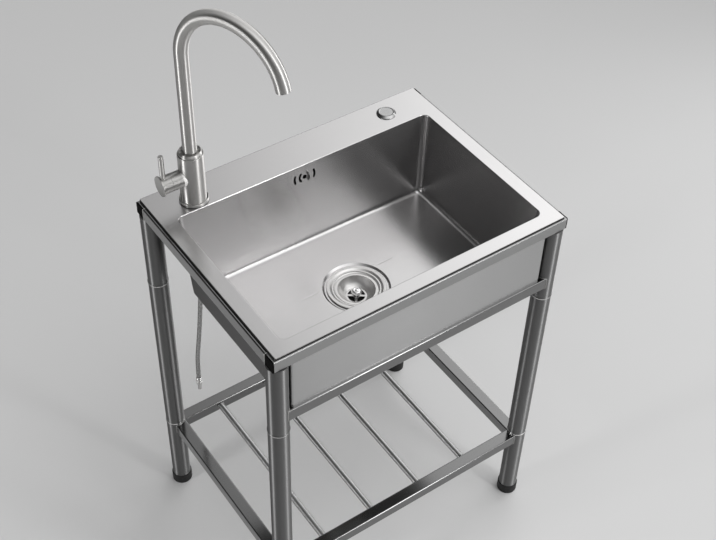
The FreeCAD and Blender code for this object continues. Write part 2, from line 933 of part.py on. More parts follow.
def drain_tail_nut():
    """The ribbed nut that clamps the tail to the outlet."""
    inner = strainer_spigot_radius + strainer_thread_clearance
    flange_low = spigot_bottom - tail_washer_thickness - tail_flange_thickness
    low = flange_low - tail_nut_floor
    high = spigot_bottom + tail_nut_overlap
    outer = inner + tail_nut_wall
    body = turned([
        (tail_shoulder_radius + strainer_thread_clearance, low),
        (outer - tail_nut_floor / 2, low),
        (outer, low + tail_nut_floor / 2),
        (outer, high),
        (inner, high),
        (inner, flange_low),
        (tail_shoulder_radius + strainer_thread_clearance, flange_low),
    ], drain_centre)
    ribs = []
    for i in range(tail_nut_rib_count):
        angle = 2 * math.pi * i / tail_nut_rib_count
        place = drain_centre + Vector(outer * math.cos(angle), outer * math.sin(angle), 0)
        rib = cylinder(tail_nut_rib_radius, low + tail_nut_floor, high, place)
        ribs.append(rib)
    inside = cylinder(inner, flange_low, high + overrun, drain_centre)
    return one(body.fuse(ribs).cut(inside))


# Basket

def window_cutter():
    """One open quarter of the basket's floor, between the arms of its cross."""
    sector = ring(basket_window_outer, basket_window_inner,
                  basket_floor - basket_sheet - overrun, basket_floor + overrun)
    keep = Part.makeBox(basket_window_outer, basket_window_outer, basket_depth + overrun,
                        Vector(basket_cross_width / 2, basket_cross_width / 2,
                               basket_floor - basket_depth / 2))
    return sector.common(keep)


def basket():
    """The dished basket with a cross of open quarters in its floor and a post below it."""
    rim = strainer_seat_radius - basket_side_clearance
    wall = strainer_cup_radius - basket_side_clearance
    low = basket_floor - basket_sheet
    under_rim = basket_top - basket_sheet
    mid_radius = (wall + basket_floor_radius) / 2 + basket_sheet
    mid_height = (basket_top + basket_floor) / 2 - basket_sheet
    dish = turned([
        (0, low),
        (basket_floor_radius, low),
        ((mid_radius + basket_sheet, mid_height - basket_sheet), (wall, under_rim)),
        (rim, under_rim),
        (rim, basket_top),
        (wall - basket_sheet, basket_top),
        ((mid_radius, mid_height), (basket_floor_radius, basket_floor)),
        (0, basket_floor),
    ])
    cuts = []
    for i in range(basket_window_count):
        cut = window_cutter()
        cut.rotate(Vector(0, 0, 0), Vector(0, 0, 1),
                   basket_turn + i * full_turn / basket_window_count)
        cuts.append(cut)
    post = cylinder(basket_post_radius, post_bottom, low)
    dish = one(dish.cut(cuts).fuse(post))
    dish.translate(drain_centre)
    return dish


def basket_knob():
    """The small turned knob on the middle of the basket's cross."""
    top = basket_floor + basket_knob_height
    radius = basket_knob_radius
    neck = basket_knob_neck
    return turned([
        (0, basket_floor),
        (basket_window_inner - basket_sheet, basket_floor),
        (neck, basket_floor + basket_knob_height * knob_neck_share),
        ((radius, top - basket_knob_height * knob_head_share),
         (neck, top - basket_knob_height * knob_crown_share)),
        (0, top),
    ], drain_centre)


def basket_stopper():
    """The rubber disc on the post, above the cup's outlet."""
    top = post_bottom + stopper_thickness
    return turned([
        (basket_post_radius, post_bottom),
        (stopper_radius - 2 * stopper_lip, post_bottom),
        (stopper_radius, post_bottom + stopper_lip),
        (stopper_radius, post_bottom + 2 * stopper_lip),
        (stopper_radius - stopper_lip, top),
        (basket_post_radius, top),
    ], drain_centre)


# Overflow, each piece in a level frame whose -Z points out of the bowl

def obround(half_length, half_height, z, height):
    """A solid with round ends, its length along X."""
    outline = rounded_rectangle(-half_length, half_length, -half_height, half_height,
                                half_height * round_end_share, z)
    return slab(outline, height)


def overflow_gasket():
    """The ring between the bowl's rear wall and the overflow housing."""
    near = -sink_sheet
    far = near - overflow_gasket_thickness
    length = overflow_half_length
    height = overflow_half_height
    width = overflow_gasket_width
    plate = obround(length, height, far, overflow_gasket_thickness)
    hole = obround(length - width, height - width, far - overrun,
                   overflow_gasket_thickness + 2 * overrun)
    return set_on_wall(plate.cut(hole))


def overflow_housing():
    """The moulded cup behind the overflow slots, with its screw boss and hose spigot."""
    front = -sink_sheet - overflow_gasket_thickness
    back = front - overflow_depth
    length = overflow_half_length
    height = overflow_half_height
    cup = obround(length, height, back, overflow_depth)
    hollow = obround(length - overflow_wall, height - overflow_wall, back + overflow_wall,
                     overflow_depth)
    middle = back + overflow_depth / 2
    reach = height + overflow_spigot_length
    inner = min(overflow_spigot_radius, overflow_depth / 2) - overflow_wall
    outer = inner + overflow_wall
    spigot = Part.makeCylinder(outer, reach, Vector(0, 0, middle), Vector(0, -1, 0))
    bore = Part.makeCylinder(inner, reach + overrun, Vector(0, 0, middle), Vector(0, -1, 0))
    boss = cylinder(overflow_boss_radius, back, front)
    hole = cylinder(overflow_screw_radius, back + overflow_wall, front + overrun)
    body = cup.fuse(spigot).cut([hollow, bore])
    return set_on_wall(one(body.fuse(boss).cut(hole)))


def overflow_screw():
    """The screw that holds the housing, with a low domed head inside the bowl."""
    radius = overflow_screw_radius
    head = overflow_screw_head_radius
    height = overflow_screw_head_height
    front = -sink_sheet - overflow_gasket_thickness
    return set_on_wall(turned([
        (0, front - overflow_screw_engagement),
        (radius, front - overflow_screw_engagement),
        (radius, 0),
        (head, 0),
        cap_arc(head, 0, height),
    ]))


# Deck cap

def hole_cap():
    """The low cap over the spare hole, with a dished plate on top and its threaded stem."""
    top = deck_top + cap_height
    disc = turned([
        (0, deck_top),
        (cap_radius, deck_top),
        *round_corner(cap_radius, deck_top + cap_rim_height, cap_edge_fillet),
        (cap_radius * cap_plate_share, top),
        (cap_radius * cap_dish_share, top - cap_dish_depth),
        (0, top - cap_dish_depth),
    ], cap_centre)
    stem = cylinder(cap_stem_radius, deck_top - cap_stem_length, deck_top, cap_centre)
    return one(disc.fuse(stem))


def hole_cap_nut():
    """The plastic nut under the deck that holds the cap."""
    top = deck_underside
    bottom = top - cap_nut_height
    body = cylinder(cap_nut_radius, bottom, top, cap_centre)
    return body.cut(cylinder(cap_stem_radius + cap_nut_clearance, bottom - overrun,
                             top + overrun, cap_centre))


# Tap

def tap_gasket():
    """The rubber ring under the tap's base."""
    return ring(tap_gasket_radius, tap_hole_radius, deck_top,
                deck_top + tap_gasket_thickness, tap_centre)


def tap_flange():
    """The base ring of the tap."""
    bottom = deck_top + tap_gasket_thickness
    top = body_bottom
    body = cylinder(tap_flange_radius, bottom, top, tap_centre)
    body = body.makeFillet(tap_flange_fillet, level_edges(body, top))
    return body.cut(cylinder(shank_radius + shank_clearance, bottom - overrun,
                             top + overrun, tap_centre))


def tap_body():
    """The upright body of the tap with its side boss and water ways."""
    upright = cylinder(tap_body_radius, body_bottom, body_top, tap_centre)
    upright = upright.makeFillet(tap_body_fillet, level_edges(upright, body_top))
    boss = side_cylinder(boss_radius, 0, boss_reach, tap_centre, valve_z)
    valve_bore = side_cylinder(cartridge_radius + cartridge_clearance, cartridge_inner_end,
                               boss_reach + overrun, tap_centre, valve_z)
    chamber = side_cylinder(chamber_radius, -chamber_beyond_axis, cartridge_inner_end,
                            tap_centre, valve_z)
    outlet_place = tap_centre - Vector(outlet_inset, 0, 0)
    cuts = [
        valve_bore,
        chamber,
        cylinder(spout_socket_radius, socket_bottom, body_top + overrun, tap_centre),
        cylinder(shank_radius, body_bottom - overrun, body_bottom + shank_socket, tap_centre),
        cylinder(inlet_radius, body_bottom, valve_z, tap_centre),
        cylinder(outlet_radius, valve_z, socket_bottom + overrun, outlet_place),
    ]
    return one(upright.fuse(boss).cut(cuts))


def tap_cartridge():
    """The ceramic disc cartridge, with its inlet port, outlet window and spindle bore."""
    body = side_cylinder(cartridge_radius, cartridge_inner_end, cartridge_outer_end,
                         tap_centre, valve_z)
    neck = side_cylinder(cartridge_neck_radius, cartridge_outer_end, cartridge_neck_end,
                         tap_centre, valve_z)
    bore = side_cylinder(spindle_radius + spindle_clearance,
                         spindle_inner_end - spindle_end_gap,
                         cartridge_neck_end + overrun, tap_centre, valve_z)
    port = side_cylinder(outlet_radius, cartridge_inner_end - overrun,
                         outlet_inset + outlet_radius, tap_centre, valve_z)
    window = cylinder(outlet_radius, valve_z, valve_z + cartridge_radius + overrun,
                      tap_centre - Vector(outlet_inset, 0, 0))
    return one(body.fuse(neck).cut([bore, port, window]))


def tap_spindle():
    """The spindle that the handle turns."""
    return side_cylinder(spindle_radius, spindle_inner_end, spindle_outer_end,
                         tap_centre, valve_z)


def tap_handle():
    """The round handle on the end of the valve, with its thin end disc."""
    start = boss_reach + handle_gap
    disc_start = handle_end - handle_disc_thickness
    body = side_cylinder(boss_radius, start, disc_start, tap_centre, valve_z)
    disc = side_cylinder(handle_disc_radius, disc_start, handle_end, tap_centre, valve_z)
    disc = disc.makeFillet(handle_fillet, [e for e in disc.Edges if e.Closed])
    cavity = side_cylinder(handle_cavity_radius, start - overrun, handle_cavity_end,
                           tap_centre, valve_z)
    socket = side_cylinder(spindle_radius, start, spindle_outer_end, tap_centre, valve_z)
    lever_x = tap_centre.x - handle_end + lever_from_end
    lever_place = Vector(lever_x, tap_centre.y, 0)
    seat = cylinder(lever_radius, valve_z + lever_foot, valve_z + lever_top, lever_place)
    thread = cylinder(lever_thread_radius, valve_z + lever_thread_end, valve_z + lever_foot,
                      lever_place)
    screw_place = Vector(tap_centre.x - handle_end + handle_screw_from_end, tap_centre.y, 0)
    screw_hole = cylinder(handle_screw_radius, valve_z - boss_radius - overrun, valve_z,
                          screw_place)
    return one(body.fuse(disc).cut([cavity, socket, seat, thread, screw_hole]))


def handle_screw():
    """The grub screw under the handle that grips the spindle."""
    place = Vector(tap_centre.x - handle_end + handle_screw_from_end, tap_centre.y, 0)
    bottom = valve_z - boss_radius + handle_screw_sunk
    body = cylinder(handle_screw_radius, bottom, valve_z - spindle_radius, place)
    key = prism(6, handle_screw_radius, bottom, bottom + handle_screw_radius, place)
    return body.cut(key)


def tap_lever():
    """The upright pin that a hand turns the handle by."""
    place = Vector(tap_centre.x - handle_end + lever_from_end, tap_centre.y, 0)
    foot_z = valve_z + lever_foot
    pin = cylinder(lever_radius, foot_z, valve_z + lever_top, place)
    pin = pin.makeFillet(lever_end_fillet, level_edges(pin, valve_z + lever_top))
    stem = cylinder(lever_thread_radius, valve_z + lever_thread_end, foot_z, place)
    return one(pin.fuse(stem))


def tap_shank():
    """The threaded shank that the water comes up through."""
    return ring(shank_radius, shank_bore, shank_bottom, body_bottom + shank_socket, tap_centre)


def tap_washer():
    """The washer under the deck."""
    return ring(tap_washer_radius, shank_radius + shank_clearance,
                deck_underside - tap_washer_thickness, deck_underside, tap_centre)


def tap_nut():
    """The nut that clamps the tap to the deck."""
    top = deck_underside - tap_washer_thickness
    return nut(tap_nut_flats, shank_radius, top - tap_nut_height, top, tap_centre)


# Spout, drawn in the XZ plane through its own axis, then turned and set on the tap

def set_on_tap(shape):
    """Turns a shape about Z to the spout's direction and moves it to the tap's axis."""
    placed = shape.copy()
    placed.rotate(Vector(0, 0, 0), Vector(0, 0, 1), spout_turn - square_turn)
    placed.translate(tap_centre)
    return placed


def over_the_arch(shape):
    """Carries a shape from the top of the riser over the arch to the outlet."""
    shape.rotate(Vector(spout_arch_radius, 0, arch_z), Vector(0, 1, 0), spout_arch_sweep)
    return shape


def swan_neck(radius, bottom):
    """The path of the spout filled with one radius, from a height to the outlet."""
    riser = cylinder(radius, bottom, arch_z)
    circle = Part.Wire(Part.makeCircle(radius, Vector(0, 0, arch_z), Vector(0, 0, 1)))
    centre = Vector(spout_arch_radius, 0, arch_z)
    arch = Part.Face(circle).revolve(centre, Vector(0, 1, 0), spout_arch_sweep)
    return riser.fuse(arch).removeSplitter()


def tap_spout():
    """The swan neck, with the grooved foot that turns in the tap body."""
    foot_top = foot_bottom + spout_foot_height
    foot_ring = cylinder(spout_foot_radius, foot_bottom, foot_top)
    groove_middle = (foot_bottom + foot_top) / 2
    groove = ring(spout_foot_radius + overrun, spout_foot_radius - spout_groove_depth,
                  groove_middle - spout_groove_width / 2, groove_middle + spout_groove_width / 2)
    outside = swan_neck(spout_radius, foot_bottom).fuse(foot_ring.cut(groove))
    seat = over_the_arch(cylinder(spout_bore, arch_z - aerator_length, arch_z + overrun))
    return set_on_tap(one(outside.cut([swan_neck(spout_bore, foot_bottom - overrun), seat])))


def spout_seal():
    """The round rubber ring in the groove of the spout's foot."""
    middle = spout_socket_radius - seal_clearance - seal_section_radius
    height = foot_bottom + spout_foot_height / 2
    return set_on_tap(Part.makeTorus(middle, seal_section_radius, Vector(0, 0, height)))


def spout_bush():
    """The plastic bush that the spout turns in."""
    return ring(spout_socket_radius - bush_clearance, spout_radius + spout_fit_clearance,
                bush_bottom, body_top, tap_centre)


def spout_collar():
    """The turned ring on top of the body that keeps the spout in."""
    bore = spout_radius + spout_fit_clearance
    top = body_top + collar_height
    return turned([
        (bore, body_top),
        (collar_radius, body_top),
        (collar_radius, top - collar_chamfer),
        (collar_radius - collar_chamfer, top),
        (bore, top),
    ], tap_centre)


def aerator():
    """The flow straightener in the spout's outlet."""
    inner = spout_bore - aerator_clearance
    insert = ring(inner, inner - aerator_wall, arch_z - aerator_length, arch_z)
    lip = ring(spout_radius, inner - aerator_wall, arch_z, arch_z + aerator_lip)
    plate = cylinder(inner - aerator_wall, arch_z - aerator_plate, arch_z)
    holes = []
    for ring_number in range(3):
        count = max(6 * ring_number, 1)
        for i in range(count):
            angle = 2 * math.pi * i / count
            reach = ring_number * aerator_hole_spacing
            place = Vector(reach * math.cos(angle), reach * math.sin(angle), 0)
            holes.append(cylinder(aerator_hole_radius, arch_z - aerator_length,
                                  arch_z + overrun, place))
    return set_on_tap(over_the_arch(one(insert.fuse([lip, plate.cut(holes)]))))


# Supply hose

def hose_points():
    """The route of the hose in place."""
    return [hose_start + Vector(x, y, z) for x, y, z in hose_route]


def hose_nut():
    """The nut and sleeve that join the hose to the shank."""
    nut_bottom = hose_nut_top - hose_nut_height
    body = nut(hose_nut_flats, shank_radius, nut_bottom, hose_nut_top, tap_centre)
    floor = ring(shank_radius + shank_clearance, shank_bore / 2, nut_bottom, shank_bottom,
                 tap_centre)
    sleeve = ring(hose_sleeve_radius, shank_bore / 2, hose_sleeve_bottom, nut_bottom, tap_centre)
    return one(body.fuse([floor, sleeve]))


def supply_hose():
    """The hanging hose as a tube of straight runs joined by tangent arcs."""
    points = hose_points()
    edges = []
    here = points[0]
    radii = []
    for i in range(1, len(points) - 1):
        before = points[i - 1] - points[i]
        after = points[i + 1] - points[i]
        turn = math.pi - before.getAngle(after)
        run = min(before.Length, after.Length)
        cut = hose_bend_share * run
        radii.append(cut / math.tan(turn / 2))
        start = points[i] + before.normalize() * cut
        end = points[i] + after.normalize() * cut
        inward = (before + after).normalize()
        radius = radii[-1]
        depth = radius / math.cos(turn / 2) - radius
        middle = points[i] + inward * depth
        edges.append(Part.LineSegment(here, start).toShape())
        edges.append(Part.Arc(start, middle, end).toShape())
        here = end
    edges.append(Part.LineSegment(here, points[-1]).toShape())
    path = Part.Wire(edges)
    radius = hose_diameter / 2
    section = Part.Wire(Part.makeCircle(radius, points[0], points[1] - points[0]))
    tube = path.makePipeShell([section], True, False)
    expected = math.pi * radius ** 2 * path.Length
    print("hose radii", [round(r) for r in radii], "length", round(path.Length, 1),
          "volume share", round(tube.Volume / expected, 4))
    return tube


def hose_fitting():
    """The crimped sleeve and stem at the free end of the hose."""
    points = hose_points()
    heading = points[-1] - points[-2]
    sleeve = hose_fitting_sleeve
    edge = hose_fitting_edge
    radius = hose_fitting_radius
    body = turned([
        (0, 0),
        (radius, 0),
        (radius, sleeve),
        (hose_fitting_stem_radius, sleeve + 2 * edge),
        (hose_fitting_stem_radius, hose_fitting_length - edge),
        (hose_fitting_stem_radius - edge, hose_fitting_length),
        (0, hose_fitting_length),
    ])
    body.Placement = Placement(points[-1], Rotation(Vector(0, 0, 1), heading))
    return body


def nodes():
    """Every piece by its name."""
    pieces = {
        "sink_bowl": sink_bowl(),
        "frame_front_rail": frame_rail_x(-1),
        "frame_rear_rail": frame_rail_x(1),
        "frame_left_rail": frame_rail_y(-1),
        "frame_right_rail": frame_rail_y(1),
        "rail_end_plugs": rail_end_plugs(),
        "front_apron": front_apron(),
        "front_lower_rail": front_lower_rail(),
        "feet": feet(),
        "shelf_front_rail": shelf_rail_x(-1),
        "shelf_rear_rail": shelf_rail_x(1),
        "shelf_left_rail": shelf_rail_y(-1),
        "shelf_right_rail": shelf_rail_y(1),
        "shelf_rods": shelf_rods(),
        "strainer_gasket": strainer_gasket(),
        "strainer_body": strainer_body(),
        "strainer_seal": strainer_seal(),
        "strainer_locknut": strainer_locknut(),
        "drain_tail_washer": drain_tail_washer(),
        "drain_tail": drain_tail(),
        "drain_tail_nut": drain_tail_nut(),
        "basket": basket(),
        "basket_knob": basket_knob(),
        "basket_stopper": basket_stopper(),
        "overflow_gasket": overflow_gasket(),
        "overflow_housing": overflow_housing(),
        "overflow_screw": overflow_screw(),
        "hole_cap": hole_cap(),
        "hole_cap_nut": hole_cap_nut(),
        "tap_gasket": tap_gasket(),
        "tap_flange": tap_flange(),
        "tap_body": tap_body(),
        "tap_cartridge": tap_cartridge(),
        "tap_spindle": tap_spindle(),
        "tap_handle": tap_handle(),
        "handle_screw": handle_screw(),
        "tap_lever": tap_lever(),
        "tap_shank": tap_shank(),
        "tap_washer": tap_washer(),
        "tap_nut": tap_nut(),
        "tap_spout": tap_spout(),
        "spout_seal": spout_seal(),
        "spout_bush": spout_bush(),
        "spout_collar": spout_collar(),
        "aerator": aerator(),
        "hose_nut": hose_nut(),
        "supply_hose": supply_hose(),
        "hose_fitting": hose_fitting(),
    }
    for name, place in leg_places.items():
        pieces["leg_top_" + name] = leg_top(place)
        pieces["leg_tube_" + name] = leg_tube(place)
        pieces["leg_base_" + name] = leg_base(place)
    return pieces


os.makedirs("parts", exist_ok=True)
for node, shape in nodes().items():
    if not shape.isValid():
        raise ValueError(node + " is not a valid shape")
    shape.exportStep("parts/%s.step" % node)
    print("%-24s solids %d volume %.0f" % (node, len(shape.Solids), shape.Volume))
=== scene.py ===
"""Finishes and fittings of a freestanding stainless steel sink, laid out as an add-on."""
import math

import bmesh
import bpy
from bpy.props import FloatProperty, FloatVectorProperty, PointerProperty
from mathutils import Matrix, Vector


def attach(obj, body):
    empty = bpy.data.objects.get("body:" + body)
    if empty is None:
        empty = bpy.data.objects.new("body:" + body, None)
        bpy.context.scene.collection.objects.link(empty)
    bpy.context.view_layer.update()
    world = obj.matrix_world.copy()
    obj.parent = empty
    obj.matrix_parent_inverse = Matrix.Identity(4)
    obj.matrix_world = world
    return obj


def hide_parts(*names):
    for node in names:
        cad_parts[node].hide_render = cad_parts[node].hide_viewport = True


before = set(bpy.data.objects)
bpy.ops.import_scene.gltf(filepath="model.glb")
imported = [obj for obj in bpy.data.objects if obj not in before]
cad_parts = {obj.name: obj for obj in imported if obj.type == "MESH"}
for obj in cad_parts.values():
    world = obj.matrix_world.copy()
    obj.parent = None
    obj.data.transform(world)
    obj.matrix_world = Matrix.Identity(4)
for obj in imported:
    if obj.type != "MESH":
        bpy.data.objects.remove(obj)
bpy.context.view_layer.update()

bl_info = {
    "name": "Freestanding sink",
    "version": (1, 0, 0),
    "blender": (4, 5, 0),
    "location": "3D View > Sidebar > Sink",
    # The seal named here is a black bead that paints the shadow line under the deck's edge
    "description": "Finishes, welds, seal, threads, hose and studio of a freestanding steel sink",
    "category": "Object",
}

MM = 0.001
X, Y, Z = range(3)

# Places and sizes of the carried-over solids that new pieces meet, in millimetres
DECK_TOP = 810.0
DECK_HALF_X = 300.0
DECK_HALF_Y = 225.0
DECK_CORNER = 3.0
DRAIN = (0.0, -22.0)
CAP = (208.0, 186.0)
TAP = (-219.0, 172.5)
# Middle of the spout's arch, the level axis that it bends about, and where the valve begins
ARCH_MIDDLE = (-183.4, 74.8, 1118.0)
ARCH_AXIS = (0.940, 0.342, 0.0)
VALVE_X = -241.8
LEG_X = 289.5
LEG_Y = 210.5
LEG_RADIUS = 19.0
LEG_JOINTS = (204.0, 614.0)
RAIL_HALF = 12.5
RAIL_CORNER = 2.5
SHELF_Z = 187.5
SHELF_SIDE_X = 284.5
LOWER_RAIL_Y = -214.5
LOWER_RAIL_Z = 655.5
FRAME_SIDE_X = 293.5
FRAME_END_Y = 202.0
FRAME_Z = 793.0
ROD_PLACES = (-187.0, -73.0, 41.0, 155.0)
ROD_RADIUS = 7.0
ROD_END_Y = 198.0
SHANK_RADIUS = 10.4
SHANK_THREAD_ENDS = (758.2, 797.0)
NECK_RADIUS = 43.5
NECK_THREAD_ENDS = (579.0, 611.5)

# Sizes of the new pieces, in millimetres
BEAD_STEP = 1.7
# The deck's bead is black and paints the shadow line under the deck's folded edge
SHADE_BEAD_STEP = 2.0
SHADE_BEAD_INSET = 1.0
SHADE_BEAD_Z = 807.9
SHANK_RIDGE = 0.55
NECK_RIDGE = 0.9
# How far the edge of a ridge, lip or ring is sunk into the solid that carries it
SUNK = 0.05
# Outline of a crimped ring: how far out from the sleeve, and up from the ring's middle
CRIMP_PROFILE = ((-SUNK, -1.0), (0.4, -0.4), (0.4, 0.4), (-SUNK, 1.0))
# Points nearer than this are merged into one
MERGE = 0.001

# Numbers of steps round or along a form
LEAST_CORNER_STEPS = 3
LIP_BULGE_STEPS = 6
LIP_SIDES = 48
SHANK_SIDES = 40
NECK_SIDES = 72
CRIMP_SIDES = 32

# How much thinner a weld bead is at every second point, as a share of its radius
BEAD_RIPPLE = 0.22

# Share of its colour that the brushed sheet keeps on its outside and folded edge, which are
# painted darker as painted shade, the roughness gained for the share lost, and how far behind
# an outside surface the middle of the deck's top lies at least, in millimetres
OUTSIDE_SHADE_TONE = 0.28
OUTSIDE_ROUGHNESS = 0.4
OUTSIDE_DEPTH = 2.0
# A little of each other axis, so that a direction never vanishes where the surface faces it
TILT = 0.02
# Most of a noise texture's values lie between these
NOISE_RANGE = {"From Min": 0.3, "From Max": 0.7}
# How far the roughness of moulded plastic strays to each side
MOULDED_SPREAD = 0.08
# A wave texture with a scale of 1 turns through this many radians in a metre
WAVE_RATE = 20.0
# A Mix node's sockets for colours and for vectors, by place, because they share their names
COLOUR_A, COLOUR_B, COLOUR_OUT = 6, 7, 2
VECTOR_A, VECTOR_B, VECTOR_OUT = 4, 5, 1

# Route of the hose, down from its upper sleeve, in millimetres
HOSE_ROUTE = [
    (-219.0, 172.5, 726.0),
    (-219.0, 172.5, 650.0),
    (-221.5, 177.0, 570.0),
    (-226.0, 181.0, 494.0),
    (-233.5, 181.3, 430.0),
    (-241.0, 179.9, 382.0),
    (-241.0, 179.9, 336.0),
]
# Names, radii and heights of the crimped rings on the hose's two sleeves, in millimetres
CRIMPS = (
    ("upper_crimp_rings", HOSE_ROUTE[0], 6.0, (730.0, 734.0, 738.0)),
    ("lower_crimp_rings", HOSE_ROUTE[-1], 5.6, (320.0, 326.0, 332.0)),
)

# Half the floor's width, and the point in the bowl that the lamps face, in metres
FLOOR_HALF = 60.0
LAMP_TARGET = (0.0, 0.0, 0.7)
LAMP_SPREAD = math.radians(120)
# Each lamp's name, its place and its width and height in metres, and its power in watts
LAMPS = (
    ("strip_right", (0.9, -2.35, 1.1), (0.4, 2.2), 10.8),
    ("panel_right", (2.6, -0.1, 0.95), (1.0, 1.7), 10.2),
    ("strip_left", (-2.75, 0.1, 1.0), (0.4, 1.9), 12.0),
)
# Width of the camera's sensor, in millimetres
SENSOR_WIDTH = 36.0


def srgb(code):
    """Turns a hex colour such as c8c6c1 into linear red, green, blue and alpha."""
    channels = []
    for i in (0, 2, 4):
        value = int(code[i:i + 2], 16) / 255
        linear = value / 12.92 if value <= 0.04045 else ((value + 0.055) / 1.055) ** 2.4
        channels.append(linear)
    return (*channels, 1.0)


def colour(name, description, code):
    """A colour setting whose default is a hex colour."""
    return FloatVectorProperty(
        name=name,
        description=description,
        subtype="COLOR",
        size=4,
        min=0.0,
        max=1.0,
        default=srgb(code),
    )


def length(name, description, default_mm):
    """A length setting whose default is given in millimetres."""
    return FloatProperty(
        name=name,
        description=description,
        subtype="DISTANCE",
        unit="LENGTH",
        default=default_mm * MM,
    )


class SinkFinishes(bpy.types.PropertyGroup):
    sheet_colour: colour("Sheet steel", "Brushed sheet of the bowl and deck", "c7c6c6")
    panel_colour: colour("Panel steel", "Brushed sheet of the front panel", "b0b0b0")
    # The legs, rails and rods are one steel; their three colours are painted light and shade: legs
    # and rails painted dark for the dark room they reflect, the front rail and rods painted lighter
    tube_shaded_colour: colour("Tube steel", "Tube of the legs and of the other rails", "7e7e7e")
    rod_lit_colour: colour("Rod steel", "Satin rods of the shelf", "b4b4b4")
    front_rail_lit_colour: colour("Front rail steel", "Tube of the front rail under the deck", "a0a0a0")
    tap_colour: colour("Tap steel", "Satin steel of the tap", "cccbc9")
    turned_colour: colour("Turned steel", "Turned strainer, basket and hose ends", "dcdbda")
    cap_colour: colour("Cap steel", "Turned cap of the spare hole", "a8a8a8")
    chrome_colour: colour("Chrome", "Polished plating of the knob and the handle's screw", "e2e2e2")
    brass_colour: colour("Brass", "Turned brass inside and under the tap", "b59a62")
    weld_colour: colour("Weld", "Bright TIG weld at the tube joints", "b8b8b6")
    # This black also colours the bead of painted shade under the deck's edge
    rubber_and_shade_colour: colour("Rubber", "Black rubber and sealant of the feet and seals", "181818")
    # This black also paints shade: the overflow housing for the shade inside its slots, and the
    # overflow's screw for the dark reflection on its steel
    plug_and_shade_colour: colour("Plug plastic", "Moulded black rail plugs and overflow", "0a0a0a")
    drain_colour: colour("Drain plastic", "Moulded polypropylene of the waste fittings", "9a9a98")
    braid_colour: colour("Hose braid", "Fine steel braid of the hose", "a4a4a3")
    sheet_line: length("Sheet brush line", "Width of a brush line on the sheet as drawn", 1.2)
    tube_line: length("Tube brush line", "Width of a brush line on the tubes as drawn", 1.2)
    line_length: length("Brush line length", "Length of one brush stroke", 240.0)


class SinkFittings(bpy.types.PropertyGroup):
    hose_diameter: length("Hose diameter", "Outside of the supply hose", 9.0)
    rail_bead: length("Rail weld", "Radius of the weld bead round a rail's end", 1.1)
    rod_bead: length("Rod weld", "Radius of the weld bead round a rod's end", 0.8)
    # This bead is painted shade: a black line where the shadow falls under the deck's edge
    shade_bead: length("Deck shade bead", "Radius of the sealing bead under the deck's edge", 1.9)
    lip_rise: length("Lip rise", "How far a leg's lip stands out", 0.6)
    lip_height: length("Lip height", "Height of a leg's lip", 3.0)
    shank_pitch: length("Shank pitch", "Thread pitch of the tap's shank", 1.8)
    strainer_pitch: length("Strainer pitch", "Thread pitch of the strainer's neck", 3.5)


class SinkStudio(bpy.types.PropertyGroup):
    floor_colour: colour("Floor", "Plain pale floor", "d4d4d4")
    room_light: FloatProperty(name="Room", description="Light level of the room", default=0.05)
    rear_window: FloatVectorProperty(
        name="Rear window",
        description="Degrees clockwise from +Y, degrees above level, and light level",
        default=(58.0, 38.0, 2.15),
    )
    front_window: FloatVectorProperty(
        name="Front window",
        description="Degrees clockwise from +Y, degrees above level, and light level",
        default=(135.0, 40.0, 2.1),
    )
    top_light: FloatVectorProperty(
        name="Top light",
        description="Degrees clockwise from +Y, degrees above level, and light level",
        default=(180.0, 70.0, 1.6),
    )
    fade: FloatProperty(name="Fade", description="How fast a window fades at its edges",
                        default=12.0)
    lens: FloatProperty(name="Lens", description="Focal length, 36 mm sensor", default=63.43)
    camera_place: FloatVectorProperty(
        name="Camera place",
        description="Where the camera stands",
        subtype="XYZ",
        unit="LENGTH",
        default=(-0.96119, -1.34162, 2.29637),
    )
    camera_turn: FloatVectorProperty(
        name="Camera turn",
        description="Heading, tilt and roll of the camera in degrees",
        default=(-36.12, -44.81, 1.90),
    )


# Materials

def add_node(tree, kind, settings=None, links=None):
    """Adds one shader node, sets its sockets or properties and links its inputs."""
    node = tree.nodes.new(kind)
    for name, value in (settings or {}).items():
        if isinstance(name, int) or name in node.inputs:
            node.inputs[name].default_value = value
        else:
            setattr(node, name, value)
    for name, source in (links or {}).items():
        tree.links.new(source, node.inputs[name])
    return node


def new_material(name, settings):
    """A material with one shader whose plain numbers are set on its own sockets."""
    material = bpy.data.materials.new(name)
    material.use_nodes = True
    tree = material.node_tree
    shader = tree.nodes["Principled BSDF"]
    for socket, value in settings.items():
        shader.inputs[socket].default_value = value
    return material, tree, shader


def darker(code, share):
    """A colour scaled towards black."""
    return (code[0] * share, code[1] * share, code[2] * share, 1.0)


def brush_strokes(tree, along, across, axis):
    """The grey value of brush strokes that run along one axis, with lengths in metres."""
    scale = [1 / across] * 3
    scale[axis] = 1 / along
    place = add_node(tree, "ShaderNodeTexCoord")
    stretch = add_node(tree, "ShaderNodeMapping", {"Scale": scale},
                       {"Vector": place.outputs["Object"]})
    noise = add_node(tree, "ShaderNodeTexNoise",
                     {"Scale": 1.0, "Detail": 3.0, "Roughness": 0.6},
                     {"Vector": stretch.outputs["Vector"]})
    return noise.outputs["Fac"]


def handling_marks(tree, size):
    """The grey value of soft uneven patches about a size in metres, as on handled steel."""
    place = add_node(tree, "ShaderNodeTexCoord")
    noise = add_node(tree, "ShaderNodeTexNoise", {"Scale": 1 / size, "Detail": 2.0},
                     {"Vector": place.outputs["Object"]})
    return noise.outputs["Fac"]


